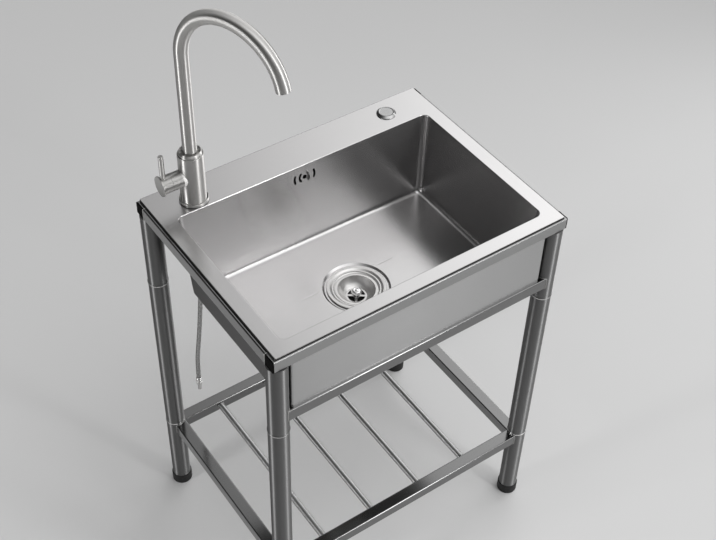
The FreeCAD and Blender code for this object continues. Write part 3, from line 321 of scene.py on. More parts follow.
def side_wall_share(tree, normal):
    """One where the surface faces along X, such as a side wall, and zero elsewhere."""
    parts = add_node(tree, "ShaderNodeSeparateXYZ", None, {"Vector": normal})
    size = add_node(tree, "ShaderNodeMath", {"operation": "ABSOLUTE"}, {0: parts.outputs["X"]})
    sharp = add_node(tree, "ShaderNodeMapRange", {"From Min": 0.6, "From Max": 0.75},
                     {"Value": size.outputs["Value"]})
    return sharp.outputs["Result"]


def outside_share(tree):
    """One on the outside of the bowl and on the folded edge, zero on the deck and inside."""
    place = add_node(tree, "ShaderNodeTexCoord")
    offset = add_node(tree, "ShaderNodeVectorMath",
                      {"operation": "SUBTRACT", 1: (0.0, 0.0, DECK_TOP * MM)},
                      {0: place.outputs["Object"]})
    outward = add_node(tree, "ShaderNodeVectorMath", {"operation": "DOT_PRODUCT"},
                       {0: place.outputs["Normal"], 1: offset.outputs["Vector"]})
    share = add_node(tree, "ShaderNodeMath", {"operation": "GREATER_THAN", 1: OUTSIDE_DEPTH * MM},
                     {0: outward.outputs["Value"]})
    return share.outputs["Value"]


def brushed_sheet_steel(settings, name, base, outside_shade_tone=1.0):
    """Stainless sheet, belt brushed with fine long lines.

    The lines run along X on the deck, floor and long walls and along Y on the side walls, and
    the eye sees reflections drawn out across them. On the bowl's outside and folded edge the
    colour is painted darker as painted shade, and the roughness is raised. The lines are drawn
    coarser than real ones to show.
    """
    material, tree, shader = new_material(name, {"Metallic": 1.0, "Anisotropic": 0.8})
    place = add_node(tree, "ShaderNodeTexCoord")
    side = side_wall_share(tree, place.outputs["Normal"])
    away = add_node(tree, "ShaderNodeMath", {"operation": "SUBTRACT", 0: 1.0}, {1: side})
    line = add_node(tree, "ShaderNodeCombineXYZ", {"Z": TILT},
                    {"X": away.outputs["Value"], "Y": side})
    cross = add_node(tree, "ShaderNodeVectorMath", {"operation": "CROSS_PRODUCT"},
                     {0: place.outputs["Normal"], 1: line.outputs["Vector"]})
    turned = add_node(tree, "ShaderNodeVectorTransform",
                      {"vector_type": "VECTOR", "convert_from": "OBJECT", "convert_to": "WORLD"},
                      {"Vector": cross.outputs["Vector"]})
    tree.links.new(turned.outputs["Vector"], shader.inputs["Tangent"])
    along_x = brush_strokes(tree, settings.line_length, settings.sheet_line, X)
    along_y = brush_strokes(tree, settings.line_length, settings.sheet_line, Y)
    lines = add_node(tree, "ShaderNodeMix", None, {"Factor": side, "A": along_x, "B": along_y})
    tone = add_node(tree, "ShaderNodeMix",
                    {"data_type": "RGBA", COLOUR_A: darker(base, 0.93), COLOUR_B: base},
                    {"Factor": lines.outputs["Result"]})
    # Painted shade: the colour is darkened on the bowl's outside and on the folded edge
    outside = outside_share(tree)
    painted_shade = add_node(tree, "ShaderNodeMix",
                    {"data_type": "RGBA", "blend_type": "MULTIPLY",
                     COLOUR_B: (outside_shade_tone, outside_shade_tone, outside_shade_tone, 1.0)},
                    {"Factor": outside, COLOUR_A: tone.outputs[COLOUR_OUT]})
    tree.links.new(painted_shade.outputs[COLOUR_OUT], shader.inputs["Base Color"])
    grain = add_node(tree, "ShaderNodeMapRange",
                     {**NOISE_RANGE, "To Min": 0.235, "To Max": 0.255},
                     {"Value": lines.outputs["Result"]})
    marks = add_node(tree, "ShaderNodeMapRange",
                     {**NOISE_RANGE, "To Min": -0.01, "To Max": 0.015},
                     {"Value": handling_marks(tree, size=120 * MM)})
    rough = add_node(tree, "ShaderNodeMath", {"operation": "ADD"},
                     {0: grain.outputs["Result"], 1: marks.outputs["Result"]})
    duller = add_node(tree, "ShaderNodeMath",
                      {"operation": "MULTIPLY_ADD", 1: OUTSIDE_ROUGHNESS * (1.0 - outside_shade_tone)},
                      {0: outside, 2: rough.outputs["Value"]})
    tree.links.new(duller.outputs["Value"], shader.inputs["Roughness"])
    bump = add_node(tree, "ShaderNodeBump", {"Distance": 0.0002 * MM},
                    {"Height": lines.outputs["Result"]})
    tree.links.new(bump.outputs["Normal"], shader.inputs["Normal"])
    return material


def tap_direction(tree):
    """The direction along the tap: upright, round the spout's arch, and out along the valve."""
    place = add_node(tree, "ShaderNodeTexCoord")
    offset = add_node(tree, "ShaderNodeVectorMath",
                      {"operation": "SUBTRACT", 1: Vector(ARCH_MIDDLE) * MM},
                      {0: place.outputs["Object"]})
    upper = add_node(tree, "ShaderNodeVectorMath",
                     {"operation": "MAXIMUM", 1: (-1.0, -1.0, 0.0)},
                     {0: offset.outputs["Vector"]})
    along = add_node(tree, "ShaderNodeVectorMath",
                     {"operation": "CROSS_PRODUCT", 1: ARCH_AXIS}, {0: upper.outputs["Vector"]})
    parts = add_node(tree, "ShaderNodeSeparateXYZ", None, {"Vector": place.outputs["Object"]})
    valve = add_node(tree, "ShaderNodeMath", {"operation": "LESS_THAN", 1: VALVE_X * MM},
                     {0: parts.outputs["X"]})
    mixed = add_node(tree, "ShaderNodeMix", {"data_type": "VECTOR", VECTOR_B: (1.0, TILT, TILT)},
                     {"Factor": valve.outputs["Value"], VECTOR_A: along.outputs["Vector"]})
    return mixed.outputs[VECTOR_OUT]


def satin_steel(settings, name, axis, base, rough, spread=0.95, on_tap=False):
    """Stainless tube, satin polished on a belt that runs round it.

    The eye sees crisp bands of light along the tube, because the fine lines round it spread
    each reflection lengthwise. The lines are drawn coarser than real ones to show. The rough
    pair is the lowest and highest roughness, and spread is the anisotropy.
    """
    material, tree, shader = new_material(name, {"Metallic": 1.0, "Anisotropic": spread})
    if on_tap:
        along = tap_direction(tree)
    else:
        direction = [TILT] * 3
        direction[axis] = 1.0
        along = add_node(tree, "ShaderNodeCombineXYZ", dict(zip("XYZ", direction))).outputs[0]
    turned = add_node(tree, "ShaderNodeVectorTransform",
                      {"vector_type": "VECTOR", "convert_from": "OBJECT", "convert_to": "WORLD"},
                      {"Vector": along})
    tree.links.new(turned.outputs["Vector"], shader.inputs["Tangent"])
    lines = brush_strokes(tree, settings.tube_line, settings.line_length, axis)
    tone = add_node(tree, "ShaderNodeMix",
                    {"data_type": "RGBA", COLOUR_A: darker(base, 0.95), COLOUR_B: base},
                    {"Factor": lines})
    tree.links.new(tone.outputs[COLOUR_OUT], shader.inputs["Base Color"])
    grain = add_node(tree, "ShaderNodeMapRange",
                     {**NOISE_RANGE, "To Min": rough[0], "To Max": rough[1]},
                     {"Value": lines})
    tree.links.new(grain.outputs["Result"], shader.inputs["Roughness"])
    return material


def turned_metal(name, base, rough, ring_mm, centre):
    """Metal turned on a lathe: the eye sees faint rings about the upright axis.

    The rings are two pi times ring_mm apart, coarser than real ones, to show.
    """
    material, tree, shader = new_material(name, {"Metallic": 1.0})
    place = add_node(tree, "ShaderNodeTexCoord")
    shift = add_node(tree, "ShaderNodeMapping",
                     {"Location": (-centre[0] * MM, -centre[1] * MM, 0.0)},
                     {"Vector": place.outputs["Object"]})
    rings = add_node(tree, "ShaderNodeTexWave",
                     {"wave_type": "RINGS", "rings_direction": "Z",
                      "Scale": 1 / (WAVE_RATE * ring_mm * MM), "Distortion": 0.4, "Detail": 1.0},
                     {"Vector": shift.outputs["Vector"]})
    tone = add_node(tree, "ShaderNodeMix",
                    {"data_type": "RGBA", COLOUR_A: darker(base, 0.94), COLOUR_B: base},
                    {"Factor": rings.outputs["Fac"]})
    tree.links.new(tone.outputs[COLOUR_OUT], shader.inputs["Base Color"])
    grain = add_node(tree, "ShaderNodeMapRange", {"To Min": rough[0], "To Max": rough[1]},
                     {"Value": rings.outputs["Fac"]})
    tree.links.new(grain.outputs["Result"], shader.inputs["Roughness"])
    return material


def moulded(name, base, roughness, grain_mm, depth_mm, gloss=0.4):
    """Moulded plastic or rubber, and the black bead of painted shade under the deck: the eye sees a
    dull tone with a grain.

    The grain is drawn coarser than a real one to show.
    """
    material, tree, shader = new_material(name, {"Metallic": 0.0, "Specular IOR Level": gloss})
    place = add_node(tree, "ShaderNodeTexCoord")
    grain = add_node(tree, "ShaderNodeTexNoise",
                     {"Scale": 1 / (grain_mm * MM), "Detail": 4.0},
                     {"Vector": place.outputs["Object"]})
    tone = add_node(tree, "ShaderNodeMix",
                    {"data_type": "RGBA", COLOUR_A: darker(base, 0.8), COLOUR_B: base},
                    {"Factor": grain.outputs["Fac"]})
    tree.links.new(tone.outputs[COLOUR_OUT], shader.inputs["Base Color"])
    rough = add_node(tree, "ShaderNodeMapRange",
                     {**NOISE_RANGE, "To Min": roughness - MOULDED_SPREAD,
                      "To Max": roughness + MOULDED_SPREAD},
                     {"Value": grain.outputs["Fac"]})
    tree.links.new(rough.outputs["Result"], shader.inputs["Roughness"])
    bump = add_node(tree, "ShaderNodeBump", {"Distance": depth_mm * MM},
                    {"Height": grain.outputs["Fac"]})
    tree.links.new(bump.outputs["Normal"], shader.inputs["Normal"])
    return material


def polished_metal(name, base, rough):
    """Metal polished to a mirror: the eye sees clear reflections with the faintest haze."""
    material, tree, shader = new_material(name, {"Metallic": 1.0})
    haze = handling_marks(tree, size=6 * MM)
    tone = add_node(tree, "ShaderNodeMix",
                    {"data_type": "RGBA", COLOUR_A: darker(base, 0.95), COLOUR_B: base},
                    {"Factor": haze})
    tree.links.new(tone.outputs[COLOUR_OUT], shader.inputs["Base Color"])
    grain = add_node(tree, "ShaderNodeMapRange", {"To Min": rough[0], "To Max": rough[1]},
                     {"Value": haze})
    tree.links.new(grain.outputs["Result"], shader.inputs["Roughness"])
    return material


def weld_metal(settings):
    """Stainless weld, left as welded: the eye sees a bright rippled bead with dull patches."""
    material, tree, shader = new_material("tig_welded_stainless", {"Metallic": 1.0})
    base = tuple(settings.weld_colour)
    patches = handling_marks(tree, size=4 * MM)
    tone = add_node(tree, "ShaderNodeMix",
                    {"data_type": "RGBA", COLOUR_A: darker(base, 0.7), COLOUR_B: base},
                    {"Factor": patches})
    tree.links.new(tone.outputs[COLOUR_OUT], shader.inputs["Base Color"])
    rough = add_node(tree, "ShaderNodeMapRange", {"To Min": 0.22, "To Max": 0.42},
                     {"Value": patches})
    tree.links.new(rough.outputs["Result"], shader.inputs["Roughness"])
    return material


def steel_braid(settings):
    """Hose braid of fine steel wire, woven on the diagonal.

    The eye sees light and dark strands that cross. They are two pi times a millimetre apart,
    coarser than real ones, to show.
    """
    base = tuple(settings.braid_colour)
    material, tree, shader = new_material("woven_steel_wire_braid", {"Metallic": 0.9})
    place = add_node(tree, "ShaderNodeTexCoord")
    waves = []
    for turn in (math.radians(45), math.radians(-45)):
        tilt = add_node(tree, "ShaderNodeMapping", {"Rotation": (turn, turn, 0.0)},
                        {"Vector": place.outputs["Object"]})
        waves.append(add_node(tree, "ShaderNodeTexWave",
                              {"wave_type": "BANDS", "bands_direction": "Z",
                               "Scale": 1 / (WAVE_RATE * MM)},
                              {"Vector": tilt.outputs["Vector"]}))
    strands = add_node(tree, "ShaderNodeMath", {"operation": "MAXIMUM"},
                       {0: waves[0].outputs["Fac"], 1: waves[1].outputs["Fac"]})
    tone = add_node(tree, "ShaderNodeMix",
                    {"data_type": "RGBA", COLOUR_A: darker(base, 0.7), COLOUR_B: base},
                    {"Factor": strands.outputs["Value"]})
    tree.links.new(tone.outputs[COLOUR_OUT], shader.inputs["Base Color"])
    rough = add_node(tree, "ShaderNodeMapRange", {"To Min": 0.4, "To Max": 0.25},
                     {"Value": strands.outputs["Value"]})
    tree.links.new(rough.outputs["Result"], shader.inputs["Roughness"])
    bump = add_node(tree, "ShaderNodeBump", {"Distance": 0.1 * MM},
                    {"Height": strands.outputs["Value"]})
    tree.links.new(bump.outputs["Normal"], shader.inputs["Normal"])
    return material


def finish_nodes(material, names):
    """Gives carried-over pieces their finish."""
    for name in names:
        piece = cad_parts[name]
        piece.data.materials.clear()
        piece.data.materials.append(material)


LEGS = ["leg_%s_%s" % (part, place)
        for place in ("front_left", "front_right", "rear_left", "rear_right")
        for part in ("top", "tube", "base")]


class SINK_OT_finishes(bpy.types.Operator):
    """Give every carried-over piece its finish"""
    bl_idname = "sink.finishes"
    bl_label = "Finishes"

    def execute(self, context):
        finishes = context.scene.sink_finishes
        tube = tuple(finishes.tube_shaded_colour)
        tap = tuple(finishes.tap_colour)
        steel = tuple(finishes.turned_colour)
        # The sheet's outside and folded edge carry painted shade
        sheet = brushed_sheet_steel(finishes, "belt_brushed_stainless_sheet",
                                    tuple(finishes.sheet_colour), OUTSIDE_SHADE_TONE)
        panel = brushed_sheet_steel(finishes, "belt_brushed_stainless_panel",
                                    tuple(finishes.panel_colour))
        # Lit and shaded copies of one steel: legs and rails painted dark, the front rail and rods
        # painted lighter
        tube_up = satin_steel(finishes, "satin_stainless_leg", Z, tube, rough=(0.46, 0.50))
        rod = satin_steel(finishes, "satin_stainless_rod", Y, tuple(finishes.rod_lit_colour),
                          rough=(0.36, 0.40))
        rail_wide = satin_steel(finishes, "polished_stainless_rail_wide", X, tube,
                                rough=(0.13, 0.16), spread=0.3)
        front_rail = satin_steel(finishes, "polished_stainless_front_rail", X,
                                 tuple(finishes.front_rail_lit_colour), rough=(0.34, 0.38), spread=0.6)
        rail_deep = satin_steel(finishes, "polished_stainless_rail_deep", Y, tube,
                                rough=(0.13, 0.16), spread=0.3)
        tap_up = satin_steel(finishes, "satin_stainless_tap", Z, tap, rough=(0.44, 0.48),
                             on_tap=True)
        lever = satin_steel(finishes, "satin_stainless_lever", Z, tap, rough=(0.40, 0.44))
        strainer = turned_metal("turned_stainless_strainer", steel, rough=(0.34, 0.44),
                                ring_mm=1.5, centre=DRAIN)
        basket = turned_metal("turned_stainless_basket", steel, rough=(0.34, 0.44),
                              ring_mm=1.5, centre=DRAIN)
        cap = turned_metal("turned_stainless_cap", tuple(finishes.cap_colour),
                           rough=(0.20, 0.30), ring_mm=1.5, centre=CAP)
        fitting = turned_metal("turned_nickel_plate", steel, rough=(0.16, 0.26),
                               ring_mm=1.0, centre=HOSE_ROUTE[-1])
        brass = turned_metal("turned_brass", tuple(finishes.brass_colour),
                             rough=(0.22, 0.34), ring_mm=1.0, centre=TAP)
        rubber = moulded("moulded_rubber", tuple(finishes.rubber_and_shade_colour),
                         roughness=0.65, grain_mm=0.8, depth_mm=0.05)
        plug = moulded("moulded_black_plastic_and_painted_shade", tuple(finishes.plug_and_shade_colour),
                       roughness=0.8, grain_mm=0.6, depth_mm=0.04, gloss=0.05)
        waste = moulded("moulded_polypropylene", tuple(finishes.drain_colour),
                        roughness=0.5, grain_mm=1.0, depth_mm=0.03)
        chrome = polished_metal("polished_chrome_plate", tuple(finishes.chrome_colour),
                                rough=(0.05, 0.10))
        finish_nodes(sheet, ["sink_bowl"])
        finish_nodes(panel, ["front_apron"])
        finish_nodes(tube_up, LEGS)
        finish_nodes(front_rail, ["frame_front_rail"])
        finish_nodes(rail_wide, ["frame_rear_rail", "front_lower_rail", "shelf_front_rail",
                                 "shelf_rear_rail"])
        finish_nodes(rail_deep, ["frame_left_rail", "frame_right_rail", "shelf_left_rail",
                                 "shelf_right_rail"])
        finish_nodes(rod, ["shelf_rods"])
        finish_nodes(tap_up, ["tap_flange", "tap_body", "tap_handle", "tap_spout",
                              "spout_collar", "aerator"])
        finish_nodes(lever, ["tap_lever"])
        finish_nodes(strainer, ["strainer_body"])
        finish_nodes(basket, ["basket"])
        finish_nodes(cap, ["hole_cap"])
        finish_nodes(fitting, ["hose_nut", "hose_fitting"])
        finish_nodes(brass, ["tap_cartridge", "tap_spindle", "tap_shank", "tap_nut"])
        finish_nodes(rubber, ["feet", "strainer_gasket", "strainer_seal", "drain_tail_washer",
                              "basket_stopper", "overflow_gasket", "tap_gasket", "tap_washer",
                              "spout_seal"])
        # Painted shade: the overflow housing is black for the shade in its slots, and its screw is
        # black for a dark reflection on steel
        finish_nodes(plug, ["rail_end_plugs", "overflow_housing", "overflow_screw"])
        finish_nodes(waste, ["strainer_locknut", "drain_tail", "drain_tail_nut",
                             "hole_cap_nut", "spout_bush"])
        finish_nodes(chrome, ["basket_knob", "handle_screw"])
        return {"FINISHED"}


# Beads

def rounded_outline(half_u, half_v, corner, step):
    """Points about every step round a rectangle with rounded corners."""
    points = []
    flat_u, flat_v = half_u - corner, half_v - corner
    arc_steps = max(LEAST_CORNER_STEPS, round(corner * math.pi / 2 / step))
    for quarter, (u, v) in enumerate(((flat_u, flat_v), (-flat_u, flat_v),
                                      (-flat_u, -flat_v), (flat_u, -flat_v))):
        for i in range(arc_steps + 1):
            angle = (quarter + i / arc_steps) * math.pi / 2
            points.append((u + corner * math.cos(angle), v + corner * math.sin(angle)))
        edge = 2 * (flat_u if quarter % 2 == 0 else flat_v)
        turn = (quarter + 1) * math.pi / 2
        start = points[-1]
        for i in range(1, round(edge / step)):
            along = edge * i / round(edge / step)
            points.append((start[0] - along * math.sin(turn), start[1] + along * math.cos(turn)))
    return points


def rail_seams():
    """The closed seams round the square rails' ends, in millimetres."""
    seams = []
    outline = rounded_outline(RAIL_HALF, RAIL_HALF, RAIL_CORNER, BEAD_STEP)
    for x_side in (-1, 1):
        for y_side in (-1, 1):
            leg_x, leg_y = x_side * LEG_X, y_side * LEG_Y
            wide = [(y_side * LEG_Y, SHELF_Z)]
            if y_side < 0:
                wide.append((LOWER_RAIL_Y, LOWER_RAIL_Z))
            for middle_y, middle_z in wide:
                run = []
                for u, v in outline:
                    y = middle_y + u
                    reach = math.sqrt(LEG_RADIUS ** 2 - (y - leg_y) ** 2)
                    run.append((leg_x - x_side * reach, y, middle_z + v))
                seams.append(run)
            run = []
            for u, v in outline:
                x = x_side * SHELF_SIDE_X + u
                reach = math.sqrt(LEG_RADIUS ** 2 - (x - leg_x) ** 2)
                run.append((x, leg_y - y_side * reach, SHELF_Z + v))
            seams.append(run)
            seams.append([(x_side * FRAME_SIDE_X + u, y_side * FRAME_END_Y, FRAME_Z + v)
                          for u, v in outline])
    return seams


def rod_seams():
    """The closed seams round the shelf rods' ends, in millimetres."""
    seams = []
    for x in ROD_PLACES:
        for y_side in (-1, 1):
            run = []
            for u, v in rounded_outline(ROD_RADIUS, ROD_RADIUS, ROD_RADIUS, BEAD_STEP):
                run.append((x + u, y_side * ROD_END_Y, SHELF_Z + v))
            seams.append(run)
    return seams


def lay_bead(name, runs, radius, ripple, material):
    """Lays a round bead along closed runs, thinner at every second point by the ripple."""
    curve = bpy.data.curves.new(name, "CURVE")
    curve.dimensions = "3D"
    curve.bevel_depth = radius
    curve.bevel_resolution = 1
    for run in runs:
        spline = curve.splines.new("POLY")
        spline.points.add(len(run) - 1)
        spline.use_cyclic_u = True
        for i, (point, place) in enumerate(zip(spline.points, run)):
            point.co = (*(Vector(place) * MM), 1.0)
            point.radius = 1.0 if i % 2 else 1.0 - ripple
    curve.materials.append(material)
    bead = bpy.data.objects.new(name, curve)
    bpy.context.scene.collection.objects.link(bead)
    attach(bead, "stand")
    return bead


class SINK_OT_welds(bpy.types.Operator):
    """Lay the weld beads round the ends of the rails and of the shelf's rods"""
    bl_idname = "sink.welds"
    bl_label = "Weld beads"

    def execute(self, context):
        settings = context.scene.sink_fittings
        metal = weld_metal(context.scene.sink_finishes)
        rails = lay_bead("rail_welds", rail_seams(), settings.rail_bead, BEAD_RIPPLE, metal)
        rods = lay_bead("rod_welds", rod_seams(), settings.rod_bead, BEAD_RIPPLE, metal)
        return {"FINISHED"}


class SINK_OT_deck_shade_bead(bpy.types.Operator):
    """Run the black bead that paints the shadow line between the deck's folded edge and the frame
    """
    bl_idname = "sink.deck_seal"
    bl_label = "Deck shade bead"

    def execute(self, context):
        settings = context.scene.sink_fittings
        # Painted shade: a black bead where the shadow line falls under the deck's edge
        black = tuple(context.scene.sink_finishes.rubber_and_shade_colour)
        shade_black_finish = moulded("black_shade_bead_finish", black, roughness=0.6, grain_mm=1.0,
                           depth_mm=0.02, gloss=0.2)
        outline = rounded_outline(DECK_HALF_X - SHADE_BEAD_INSET, DECK_HALF_Y - SHADE_BEAD_INSET,
                                  DECK_CORNER, SHADE_BEAD_STEP)
        run = [(u, v, SHADE_BEAD_Z) for u, v in outline]
        bead = lay_bead("deck_seal", [run], settings.shade_bead, ripple=0.0, material=shade_black_finish)
        return {"FINISHED"}


# Threads and lips

def turned_piece(name, form, material):
    """Merges a spun form's double points and makes it a piece that rides on the stand."""
    bmesh.ops.remove_doubles(form, verts=form.verts, dist=MERGE * MM)
    bmesh.ops.recalc_face_normals(form, faces=form.faces)
    mesh = bpy.data.meshes.new(name)
    form.to_mesh(mesh)
    form.free()
    mesh.materials.append(material)
    piece = bpy.data.objects.new(name, mesh)
    bpy.context.scene.collection.objects.link(piece)
    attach(piece, "stand")
    return piece


def thread_ridge(form, centre, radius_mm, ends_mm, rise_mm, pitch, sides):
    """Winds one pointed ridge up a shank, whose pitch is in metres."""
    x, y = centre[0] * MM, centre[1] * MM
    radius, rise = radius_mm * MM, rise_mm * MM
    low, high = (end * MM for end in ends_mm)
    corners = [
        form.verts.new((x + radius - SUNK * MM, y, low)),
        form.verts.new((x + radius + rise, y, low + pitch / 2)),
        form.verts.new((x + radius - SUNK * MM, y, low + pitch)),
    ]
    edges = [form.edges.new(corners[:2]), form.edges.new(corners[1:])]
    turns = int((high - low) / pitch) - 1
    bmesh.ops.spin(form, geom=corners + edges, cent=(x, y, 0.0), axis=(0.0, 0.0, 1.0),
                   dvec=(0.0, 0.0, pitch / sides), angle=turns * math.tau, steps=turns * sides)


class SINK_OT_leg_lips(bpy.types.Operator):
    """Roll the lips where the tubes of each leg plug together"""
    bl_idname = "sink.leg_lips"
    bl_label = "Leg lips"

    def execute(self, context):
        settings = context.scene.sink_fittings
        form = bmesh.new()
        for x_side in (-1, 1):
            for y_side in (-1, 1):
                x, y = x_side * LEG_X * MM, y_side * LEG_Y * MM
                for height in LEG_JOINTS:
                    lip = []
                    for i in range(LIP_BULGE_STEPS + 1):
                        angle = math.radians(-90 + 180 / LIP_BULGE_STEPS * i)
                        out = settings.lip_rise * math.cos(angle) - SUNK * MM
                        up = settings.lip_height / 2 * math.sin(angle)
                        lip.append(form.verts.new((x + LEG_RADIUS * MM + out, y,
                                                   height * MM + up)))
                    edges = [form.edges.new(lip[i:i + 2]) for i in range(LIP_BULGE_STEPS)]
                    bmesh.ops.spin(form, geom=lip + edges, cent=(x, y, 0.0),
                                   axis=(0.0, 0.0, 1.0), angle=math.tau, steps=LIP_SIDES,
                                   use_merge=True)
        finishes = context.scene.sink_finishes
        steel = polished_metal("rolled_stainless_lip", tuple(finishes.turned_colour),
                               rough=(0.12, 0.2))
        turned_piece("leg_lips", form, steel)
        return {"FINISHED"}


class SINK_OT_threads(bpy.types.Operator):
    """Wind the threads of the tap's shank and the strainer's neck"""
    bl_idname = "sink.threads"
    bl_label = "Threads"

    def execute(self, context):
        settings = context.scene.sink_fittings
        finishes = context.scene.sink_finishes
        shank = bmesh.new()
        thread_ridge(shank, TAP, SHANK_RADIUS, SHANK_THREAD_ENDS, SHANK_RIDGE,
                     settings.shank_pitch, SHANK_SIDES)
        brass = turned_metal("threaded_brass", tuple(finishes.brass_colour),
                             rough=(0.25, 0.38), ring_mm=1.0, centre=TAP)
        turned_piece("shank_thread", shank, brass)
        neck = bmesh.new()
        thread_ridge(neck, DRAIN, NECK_RADIUS, NECK_THREAD_ENDS, NECK_RIDGE,
                     settings.strainer_pitch, NECK_SIDES)
        steel = turned_metal("threaded_stainless", tuple(finishes.turned_colour),
                             rough=(0.22, 0.34), ring_mm=1.0, centre=DRAIN)
        turned_piece("strainer_thread", neck, steel)
        return {"FINISHED"}


# Hose

class SINK_OT_hose(bpy.types.Operator):
    """Hang the braided supply hose under the tap, with the crimped rings of its sleeves"""
    bl_idname = "sink.hose"
    bl_label = "Supply hose"

    def execute(self, context):
        settings = context.scene.sink_fittings
        finishes = context.scene.sink_finishes
        curve = bpy.data.curves.new("braided_hose", "CURVE")
        curve.dimensions = "3D"
        spline = curve.splines.new("NURBS")
        spline.points.add(len(HOSE_ROUTE) - 1)
        for point, place in zip(spline.points, HOSE_ROUTE):
            point.co = (*(Vector(place) * MM), 1.0)
        spline.order_u = 3
        spline.use_endpoint_u = True
        spline.resolution_u = 12
        curve.bevel_depth = settings.hose_diameter / 2
        curve.bevel_resolution = 6
        hose = bpy.data.objects.new("braided_hose", curve)
        context.scene.collection.objects.link(hose)
        curve.materials.append(steel_braid(finishes))
        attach(hose, "stand")
        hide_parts("supply_hose")
        steel = tuple(finishes.turned_colour)
        for name, centre, radius, heights in CRIMPS:
            form = bmesh.new()
            x, y = centre[0] * MM, centre[1] * MM
            for height in heights:
                corners = [form.verts.new((x + (radius + out) * MM, y, (height + up) * MM))
                           for out, up in CRIMP_PROFILE]
                edges = [form.edges.new(corners[i:i + 2]) for i in range(len(corners) - 1)]
                bmesh.ops.spin(form, geom=corners + edges, cent=(x, y, 0.0),
                               axis=(0.0, 0.0, 1.0), angle=math.tau, steps=CRIMP_SIDES,
                               use_merge=True)
            metal = turned_metal("crimped_%s" % name, steel, rough=(0.18, 0.28),
                                 ring_mm=1.0, centre=centre)
            piece = turned_piece(name, form, metal)
        return {"FINISHED"}


# Studio

def soft_lamp(name, place, size, power):
    """A large soft lamp that faces the bowl."""
    lamp = bpy.data.lights.new(name, "AREA")
    lamp.shape = "RECTANGLE"
    lamp.size, lamp.size_y = size
    lamp.energy = power
    lamp.spread = LAMP_SPREAD
    holder = bpy.data.objects.new(name, lamp)
    bpy.context.scene.collection.objects.link(holder)
    holder.location = place
    heading = Vector(LAMP_TARGET) - Vector(place)
    holder.rotation_euler = heading.to_track_quat("-Z", "Y").to_euler()


def studio_world(scene, settings):
    """A dim room with soft windows to the right, behind and before the sink, and one above."""
    world = bpy.data.worlds.new("studio")
    world.use_nodes = True
    tree = world.node_tree
    background = tree.nodes["Background"]
    place = add_node(tree, "ShaderNodeTexCoord")
    total = None
    for turn, rise, level in (settings.rear_window, settings.front_window, settings.top_light):
        turn, rise = math.radians(turn), math.radians(rise)
        middle = (math.sin(turn) * math.cos(rise), math.cos(turn) * math.cos(rise), math.sin(rise))
        along = add_node(tree, "ShaderNodeVectorMath", {"operation": "DOT_PRODUCT", 1: middle},
                         {0: place.outputs["Generated"]})
        fade = add_node(tree, "ShaderNodeMath",
                        {"operation": "MULTIPLY_ADD", 1: settings.fade, 2: -settings.fade},
                        {0: along.outputs["Value"]})
        shape = add_node(tree, "ShaderNodeMath", {"operation": "EXPONENT"},
                         {0: fade.outputs["Value"]})
        if total is None:
            total = add_node(tree, "ShaderNodeMath",
                             {"operation": "MULTIPLY_ADD", 1: level, 2: settings.room_light},
                             {0: shape.outputs["Value"]})
        else:
            total = add_node(tree, "ShaderNodeMath", {"operation": "MULTIPLY_ADD", 1: level},
                             {0: shape.outputs["Value"], 2: total.outputs["Value"]})
    tree.links.new(total.outputs["Value"], background.inputs["Color"])
    scene.world = world


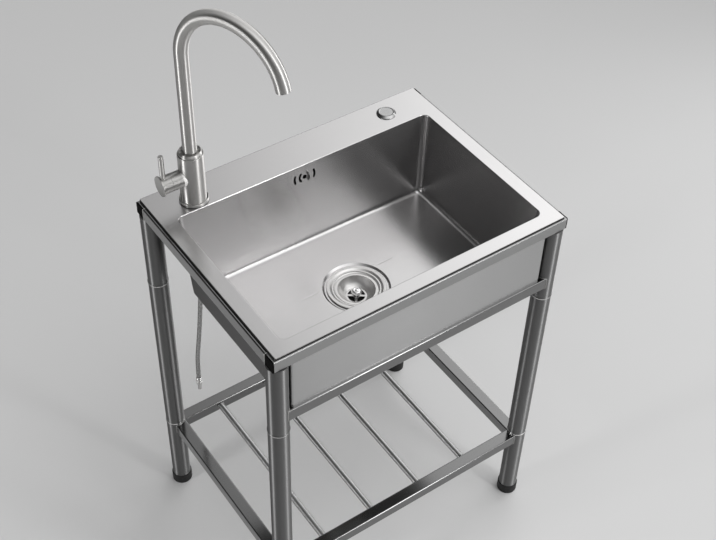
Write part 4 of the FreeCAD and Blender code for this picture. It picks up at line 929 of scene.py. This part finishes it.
class SINK_OT_studio(bpy.types.Operator):
    """Set up the floor, the lamps and the camera"""
    bl_idname = "sink.studio"
    bl_label = "Studio"

    def execute(self, context):
        scene = context.scene
        settings = scene.sink_studio
        mesh = bpy.data.meshes.new("studio_floor")
        form = bmesh.new()
        bmesh.ops.create_grid(form, x_segments=1, y_segments=1, size=FLOOR_HALF)
        form.to_mesh(mesh)
        form.free()
        floor = bpy.data.objects.new("studio_floor", mesh)
        scene.collection.objects.link(floor)
        material, tree, shader = new_material("matt_floor_paint", {"Roughness": 0.9})
        base = tuple(settings.floor_colour)
        tone = add_node(tree, "ShaderNodeMix",
                        {"data_type": "RGBA", COLOUR_A: darker(base, 0.98), COLOUR_B: base},
                        {"Factor": handling_marks(tree, size=0.4)})
        tree.links.new(tone.outputs[COLOUR_OUT], shader.inputs["Base Color"])
        mesh.materials.append(material)
        studio_world(scene, settings)
        for name, place, size, power in LAMPS:
            soft_lamp(name, place, size, power)
        camera = bpy.data.cameras.new("photo_view")
        camera.sensor_width = SENSOR_WIDTH
        camera.lens = settings.lens
        holder = bpy.data.objects.new("photo_view", camera)
        scene.collection.objects.link(holder)
        heading, tilt, roll = (math.radians(a) for a in settings.camera_turn)
        turn = (Matrix.Rotation(heading, 4, "Z")
                @ Matrix.Rotation(math.pi / 2 + tilt, 4, "X")
                @ Matrix.Rotation(roll, 4, "Z"))
        holder.matrix_world = Matrix.Translation(settings.camera_place) @ turn
        scene.camera = holder
        scene.view_settings.view_transform = "Standard"
        return {"FINISHED"}


OPERATORS = (
    SINK_OT_finishes,
    SINK_OT_welds,
    SINK_OT_deck_shade_bead,
    SINK_OT_leg_lips,
    SINK_OT_threads,
    SINK_OT_hose,
    SINK_OT_studio,
)


class SINK_PT_panel(bpy.types.Panel):
    """Lists the sink's operators"""
    bl_idname = "SINK_PT_panel"
    bl_label = "Freestanding sink"
    bl_space_type = "VIEW_3D"
    bl_region_type = "UI"
    bl_category = "Sink"

    def draw(self, context):
        for operator in OPERATORS:
            self.layout.operator(operator.bl_idname)


GROUPS = {
    "sink_finishes": SinkFinishes,
    "sink_fittings": SinkFittings,
    "sink_studio": SinkStudio,
}


def register():
    for name, group in GROUPS.items():
        bpy.utils.register_class(group)
        setattr(bpy.types.Scene, name, PointerProperty(type=group))
    for operator in OPERATORS:
        bpy.utils.register_class(operator)
    bpy.utils.register_class(SINK_PT_panel)


def unregister():
    bpy.utils.unregister_class(SINK_PT_panel)
    for operator in reversed(OPERATORS):
        bpy.utils.unregister_class(operator)
    for name, group in GROUPS.items():
        delattr(bpy.types.Scene, name)
        bpy.utils.unregister_class(group)


def main():
    register()
    bpy.ops.sink.finishes()
    bpy.ops.sink.welds()
    bpy.ops.sink.deck_seal()
    bpy.ops.sink.leg_lips()
    bpy.ops.sink.threads()
    bpy.ops.sink.hose()
    bpy.ops.sink.studio()


if __name__ == "__main__":
    main()
